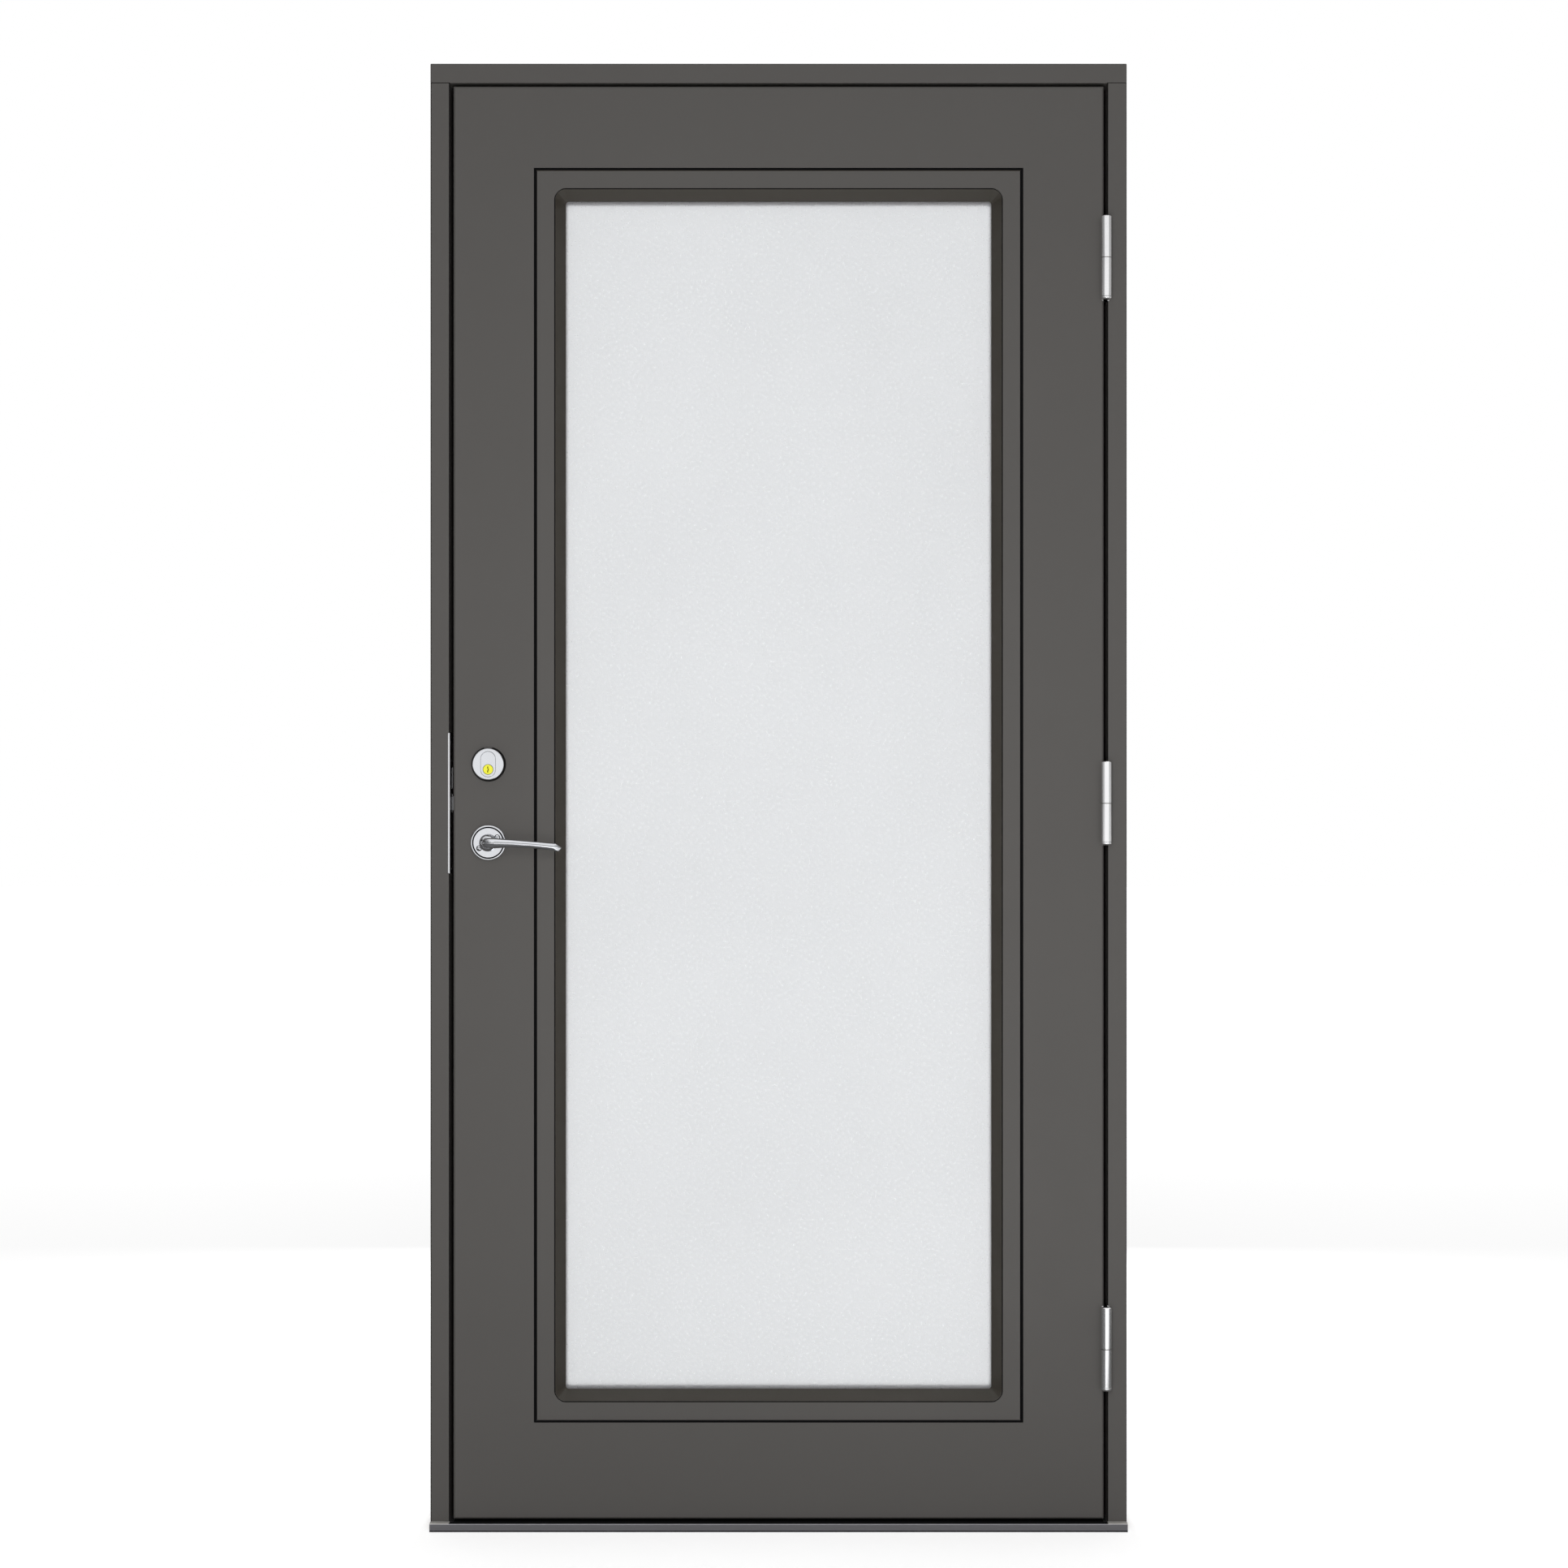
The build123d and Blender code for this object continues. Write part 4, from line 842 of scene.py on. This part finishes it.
# The bolts' steel is painted darker: painted shade for the low light in the gap between leaf and
# frame.
bolt_steel_painted_shade = finish(
    "bolt_steel_painted_shade",
    metal_pattern,
    {"Color": tone(*BOLT_SHADE_GREY), "Roughness": 0.3, "Line Scale": (80.0, 80.0, 1200.0)},
    relief=0.00001,
    Metallic=1.0,
)
dress(case_zinc, "lock_case", "follower", "spindle")
ease("lock_forend", PLATE_ARRIS, plate_steel)
ease("latch_bolt", LATCH_ARRIS, bolt_steel_painted_shade)
ease("deadbolt", DEADBOLT_ARRIS, bolt_steel_painted_shade)
lock_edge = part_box("lock_forend")[0].x
for number, side in enumerate((-1, 1), start=1):
    height = lock_middle + side * FOREND_SCREW_RISE
    place = Matrix.Translation((lock_edge + SCREW_SINK, lock_line, height)) @ turned_round
    copy_of(screw_model, f"forend_screw_{number}", place, "leaf")


# Cylinder: a tapered ring of plated steel round an oval cylinder, with a brass plug that takes the
# key. The faces are flat and finely turned, and a hairline shows round the oval. The ring's flank
# is painted black as shade and dark reflection, all but its lit top, and a fine black wire ring
# round the plug is painted shade for the gap there.

NICKEL_WHITE = (222, 224, 228)
BRASS_YELLOW = (255, 252, 84)
PAINTED_SHADE_BLACK = (34, 34, 36)
CYLINDER_ARRIS = 0.0004
PLUG_ARRIS = 0.0003
FLANK_START = 0.0221
FLANK_SLANTS = (0.05, 0.68)
LIT_TOP_REACH = 0.006
SHADE_RING_RADIUS = 0.0071
SHADE_RING_WIRE = 0.00035
SHADE_RING_OUT = 0.0001
SHADE_RING_STEPS = 64
SHADE_RING_WIRE_STEPS = 10
SHADE_RING_SMOOTH = 60

nickel = finish(
    "plated_nickel",
    metal_pattern,
    {"Color": tone(*NICKEL_WHITE), "Roughness": 0.1, "Line Scale": (160.0, 160.0, 160.0)},
    relief=0.000004,
    Metallic=1.0,
)
plug_brass = finish(
    "plug_brass",
    metal_pattern,
    {"Color": tone(*BRASS_YELLOW), "Roughness": 0.24, "Line Scale": (500.0, 500.0, 500.0)},
    relief=0.000004,
    Metallic=1.0,
)
painted_shade_metal = finish(
    "painted_shade_black_metal",
    metal_pattern,
    {"Color": tone(*PAINTED_SHADE_BLACK), "Roughness": 0.3, "Line Scale": (200.0, 200.0, 200.0)},
    relief=0.000004,
    Metallic=1.0,
)
ring_middle = Vector((middle_of("cylinder_ring", 0), 0, middle_of("cylinder_ring", 2)))


def shaded_ring_flank(center, normal):
    """The ring's sloping flank, painted black as shade and dark reflection, but for its top, which
    stays bright where it catches the light.
    """
    out = (center - ring_middle) * Vector((1, 0, 1))
    lit_top = out.z > 0 and abs(out.x) < LIT_TOP_REACH
    least, most = FLANK_SLANTS
    return out.length > FLANK_START and least < -normal.y < most and not lit_top


# Painted shade: the ring's flank is painted black.
recolor(ease("cylinder_ring", CYLINDER_ARRIS, nickel, segments=3), painted_shade_metal, shaded_ring_flank)
ease("cylinder_body", CYLINDER_ARRIS, nickel)
ease("cylinder_plug", PLUG_ARRIS, plug_brass)
# A fine black wire ring on the plug's face: painted shade, the dark of the gap round the plug.
plug_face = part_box("cylinder_body")[0].y - SHADE_RING_OUT
bpy.ops.object.select_all(action="DESELECT")
bpy.ops.mesh.primitive_torus_add(
    major_radius=SHADE_RING_RADIUS,
    minor_radius=SHADE_RING_WIRE,
    major_segments=SHADE_RING_STEPS,
    minor_segments=SHADE_RING_WIRE_STEPS,
    location=(middle_of("cylinder_plug", 0), plug_face, middle_of("cylinder_plug", 2)),
    rotation=(radians(90), 0, 0),
)
shade_ring = settle("plug_shade_ring", painted_shade_metal)
bpy.ops.object.shade_smooth_by_angle(angle=radians(SHADE_RING_SMOOTH))
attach(shade_ring, "leaf")


# Handles: a plated lever on a round rose on each side, on one square spindle. Two domed screws run
# through both roses; their rims are painted dark as shade, and so is the groove in each rose's
# face.
# On the inside a thumbturn on its own rose throws the deadbolt.

ROSE_ARRIS = 0.0003
LEVER_ARRIS = 0.0005
LEVER_SHARP = 58
THUMBTURN_ROSE_ARRIS = 0.0005
THUMBTURN_ARRIS = 0.0006
DOME_RADIUS = 0.004
DOME_RISE = 0.0018
DOME_FOOT = 0.0003
DOME_BROW = 0.83
DOME_STEPS = 40
DOME_SMOOTH = 30
SCREW_ACROSS = 0.01286
SCREW_UP = 0.00773
GROOVE_INSIDE = 0.0208
GROOVE_OUTSIDE = 0.0228
GROOVE_WALL_MOST = 0.98
ROSE_GROOVE_DEPTH = 0.0025


def shaded_rose_groove(center, normal):
    """The groove that is turned into a rose's face, with its floor and both walls, painted dark as
    shade.
    """
    out = ((center - rose_middle) * Vector((1, 0, 1))).length
    in_wall = GROOVE_INSIDE < out < GROOVE_OUTSIDE and abs(normal.y) < GROOVE_WALL_MOST
    from_floor = min(abs(center.y - depth) for depth in groove_floors)
    return in_wall or (from_floor < SAME_DEPTH and abs(normal.y) > SQUARE_ON)


rose_middle = Vector((middle_of("outer_rose", 0), 0, middle_of("outer_rose", 2)))
groove_floors = (
    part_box("outer_rose")[0].y + ROSE_GROOVE_DEPTH,
    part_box("inner_rose")[1].y - ROSE_GROOVE_DEPTH,
)
for rose in ("outer_rose", "inner_rose"):
    # Painted shade: each rose's groove is painted dark.
    recolor(ease(rose, ROSE_ARRIS, nickel, segments=3), painted_shade_metal, shaded_rose_groove)
for lever in ("outer_lever", "inner_lever"):
    ease(lever, LEVER_ARRIS, nickel, sharp=LEVER_SHARP, flat=False)
ease("thumbturn_rose", THUMBTURN_ROSE_ARRIS, nickel, segments=3)
ease("thumbturn", THUMBTURN_ARRIS, nickel, segments=3)


def domed_screw():
    """One domed screw head that faces -Y, with a thin straight foot and its base at the origin."""
    bpy.ops.object.select_all(action="DESELECT")
    ball = (DOME_RADIUS**2 + DOME_RISE**2) / (2 * DOME_RISE)
    bpy.ops.mesh.primitive_uv_sphere_add(
        segments=DOME_STEPS,
        ring_count=DOME_STEPS,
        radius=ball,
        location=(0, ball - DOME_RISE - DOME_FOOT, 0),
        rotation=(radians(90), 0, 0),
    )
    bpy.ops.object.mode_set(mode="EDIT")
    bpy.ops.mesh.select_all(action="SELECT")
    bpy.ops.mesh.bisect(
        plane_co=(0, -DOME_FOOT, 0), plane_no=(0, -1, 0), use_fill=True, clear_inner=True
    )
    bpy.ops.mesh.extrude_region_move(TRANSFORM_OT_translate={"value": (0, DOME_FOOT, 0)})
    bpy.ops.object.mode_set(mode="OBJECT")
    return settle("dome_model", nickel)


dome_model = domed_screw()
bpy.ops.object.shade_smooth_by_angle(angle=radians(DOME_SMOOTH))
# Painted shade: the dome's steep rim is painted dark, a dark reflection round its highlight.
recolor(dome_model, painted_shade_metal, lambda center, normal: abs(normal.y) < DOME_BROW)
lock_across = middle_of("outer_rose", 0)
handle_height = middle_of("outer_rose", 2)
outer_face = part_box("outer_rose")[0].y
inner_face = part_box("inner_rose")[1].y
for number, side in enumerate((-1, 1), start=1):
    across, height = lock_across + side * SCREW_ACROSS, handle_height + side * SCREW_UP
    place = Matrix.Translation((across, outer_face, height))
    copy_of(dome_model, f"outer_rose_screw_{number}", place, "leaf")
    place = Matrix.Translation((across, inner_face, height)) @ turned_round
    copy_of(dome_model, f"inner_rose_screw_{number}", place, "leaf")
bpy.data.objects.remove(dome_model)
bpy.data.objects.remove(screw_model)


# Studio: a plain white floor that keeps the door's soft shadow, white all round for the camera and
# through the glass, and a soft lamp on each side of the door. Metal mirrors a white sky with darker
# bands, and a floor that is dim close by, so that its shape shows.

FLOOR_HALF = 30.0
FLOOR_ROUGH = 0.9
FLOOR_WHITE = 0.9
FLOOR_SEEN = {"From Min": 1.5, "From Max": 7.0, "To Min": 0.5, "To Max": 0.68}
FLOOR_SHINE = {"From Min": 0.7, "From Max": 1.2, "To Min": 0.0, "To Max": 0.5}
FLOOR_DIM = {"From Min": 0.7, "From Max": 1.2, "To Min": 0.7, "To Max": 0.0}
FLOOR_SIDE = {"From Min": -0.3, "From Max": 0.1, "To Min": 0.25, "To Max": 1.0}
LAMP_POWER = 42.0
LAMP_WIDTH = 0.6
LAMP_HEIGHT = 2.0
LAMP_DISTANCE = 2.6
SKY_SOFT = {"From Min": 0.2, "From Max": 0.7, "To Min": 0.66, "To Max": 0.24}
SHINE_ACROSS = ((0.13, 0.3), (0.23, 1.0), (0.87, 1.0), (0.95, 0.4))
SHINE_UP = ((0.2, 1.0), (0.28, 0.12), (0.42, 0.12), (0.55, 1.0))
CAMERA_DISTANCE = 4.3
CAMERA_HEIGHT = 1.0443
LENS = 69.43
SHIFT = (0.00347, 0.00725)


def math(tree, operation, first, second=0.0):
    return put(tree, "Math", {0: first, 1: second}, operation=operation).outputs["Value"]


def change(tree, value, ends):
    """A soft change from one level to another as a value grows."""
    inputs = {"Value": value, **ends}
    return put(tree, "MapRange", inputs, interpolation_type="SMOOTHSTEP").outputs["Result"]


def levels(tree, value, stops):
    """Levels at given places along a value from 0 to 1, as stops on a ramp."""
    ramp = put(tree, "ValToRGB", {0: value})
    stops_on_ramp = ramp.color_ramp.elements
    for number, (place, level) in enumerate(stops):
        stop = stops_on_ramp[number] if number < 2 else stops_on_ramp.new(place)
        stop.position = place
        stop.color = (level, level, level, 1)
    return ramp.outputs["Color"]


bpy.ops.object.select_all(action="DESELECT")
bpy.ops.mesh.primitive_plane_add(size=2 * FLOOR_HALF)
floor_white = bpy.data.materials.new("floor_white")
floor_white.use_nodes = True
tree = floor_white.node_tree
shader = tree.nodes["Principled BSDF"]
shader.inputs["Roughness"].default_value = FLOOR_ROUGH
shader.inputs["Specular IOR Level"].default_value = 0.0
shader.inputs["Emission Color"].default_value = (1, 1, 1, 1)
path = put(tree, "LightPath").outputs
ground = put(tree, "SeparateXYZ", {0: put(tree, "TexCoord").outputs["Object"]}).outputs
away = math(tree, "ABSOLUTE", ground["Y"])
# The dim part of the mirrored floor reaches further out on the lock side, under the lever.
near = math(tree, "MULTIPLY", away, change(tree, ground["X"], FLOOR_SIDE))
through = path["Is Transmission Ray"]
lift = math(tree, "MULTIPLY", path["Is Camera Ray"], change(tree, away, FLOOR_SEEN))
lift = math(tree, "ADD", lift, through)
# Light through frosted glass counts as glossy too, so only what isn't through it is mirrored.
mirrored = math(tree, "GREATER_THAN", path["Is Glossy Ray"], through)
shine = math(tree, "MULTIPLY", mirrored, change(tree, near, FLOOR_SHINE))
tree.links.new(math(tree, "ADD", lift, shine), shader.inputs["Emission Strength"])
dim = math(tree, "MULTIPLY", mirrored, change(tree, near, FLOOR_DIM))
dim = math(tree, "ADD", dim, math(tree, "MULTIPLY", through, FLOOR_WHITE))
tree.links.new(math(tree, "SUBTRACT", FLOOR_WHITE, dim), shader.inputs["Base Color"])
floor = settle("floor", floor_white)

world = bpy.data.worlds.new("studio")
bpy.context.scene.world = world
world.use_nodes = True
tree = world.node_tree
sky = tree.nodes["Background"]
path = put(tree, "LightPath").outputs
toward = put(tree, "SeparateXYZ", {0: put(tree, "TexCoord").outputs["Generated"]}).outputs
soft = change(tree, math(tree, "ABSOLUTE", toward["X"]), SKY_SOFT)
across = math(tree, "ADD", math(tree, "MULTIPLY", toward["X"], 0.5), 0.5)
bands = levels(tree, across, SHINE_ACROSS), levels(tree, toward["Z"], SHINE_UP)
shine = math(tree, "MULTIPLY", *bands)
level = put(tree, "Mix", {"Factor": path["Is Glossy Ray"], 2: soft, 3: shine}).outputs[0]
seen = math(tree, "MAXIMUM", path["Is Camera Ray"], path["Is Transmission Ray"])
white = put(tree, "Mix", {"Factor": seen, 2: level, 3: 1.0}).outputs[0]
tree.links.new(white, sky.inputs["Strength"])
sky.inputs["Color"].default_value = (1, 1, 1, 1)

door_front, door_back = head_low.y, head_high.y
for name, y, turn in (
    ("front_lamp", door_front - LAMP_DISTANCE, 90),
    ("back_lamp", door_back + LAMP_DISTANCE, -90),
):
    lamp_data = bpy.data.lights.new(name, "AREA")
    lamp_data.shape = "RECTANGLE"
    lamp_data.size = LAMP_WIDTH
    lamp_data.size_y = LAMP_HEIGHT
    lamp_data.energy = LAMP_POWER
    lamp = bpy.data.objects.new(name, lamp_data)
    bpy.context.scene.collection.objects.link(lamp)
    lamp.location = (0, y, CAMERA_HEIGHT)
    lamp.rotation_euler = (radians(turn), 0, 0)
    lamp.visible_camera = False
    lamp.visible_glossy = False
    lamp.visible_transmission = False

camera = bpy.data.objects.new("camera", bpy.data.cameras.new("camera"))
bpy.context.scene.collection.objects.link(camera)
camera.location = (0, door_front - CAMERA_DISTANCE, CAMERA_HEIGHT)
camera.rotation_euler = (radians(90), 0, 0)
camera.data.lens = LENS
camera.data.shift_x, camera.data.shift_y = SHIFT
bpy.context.scene.camera = camera
bpy.context.scene.view_settings.view_transform = "Standard"
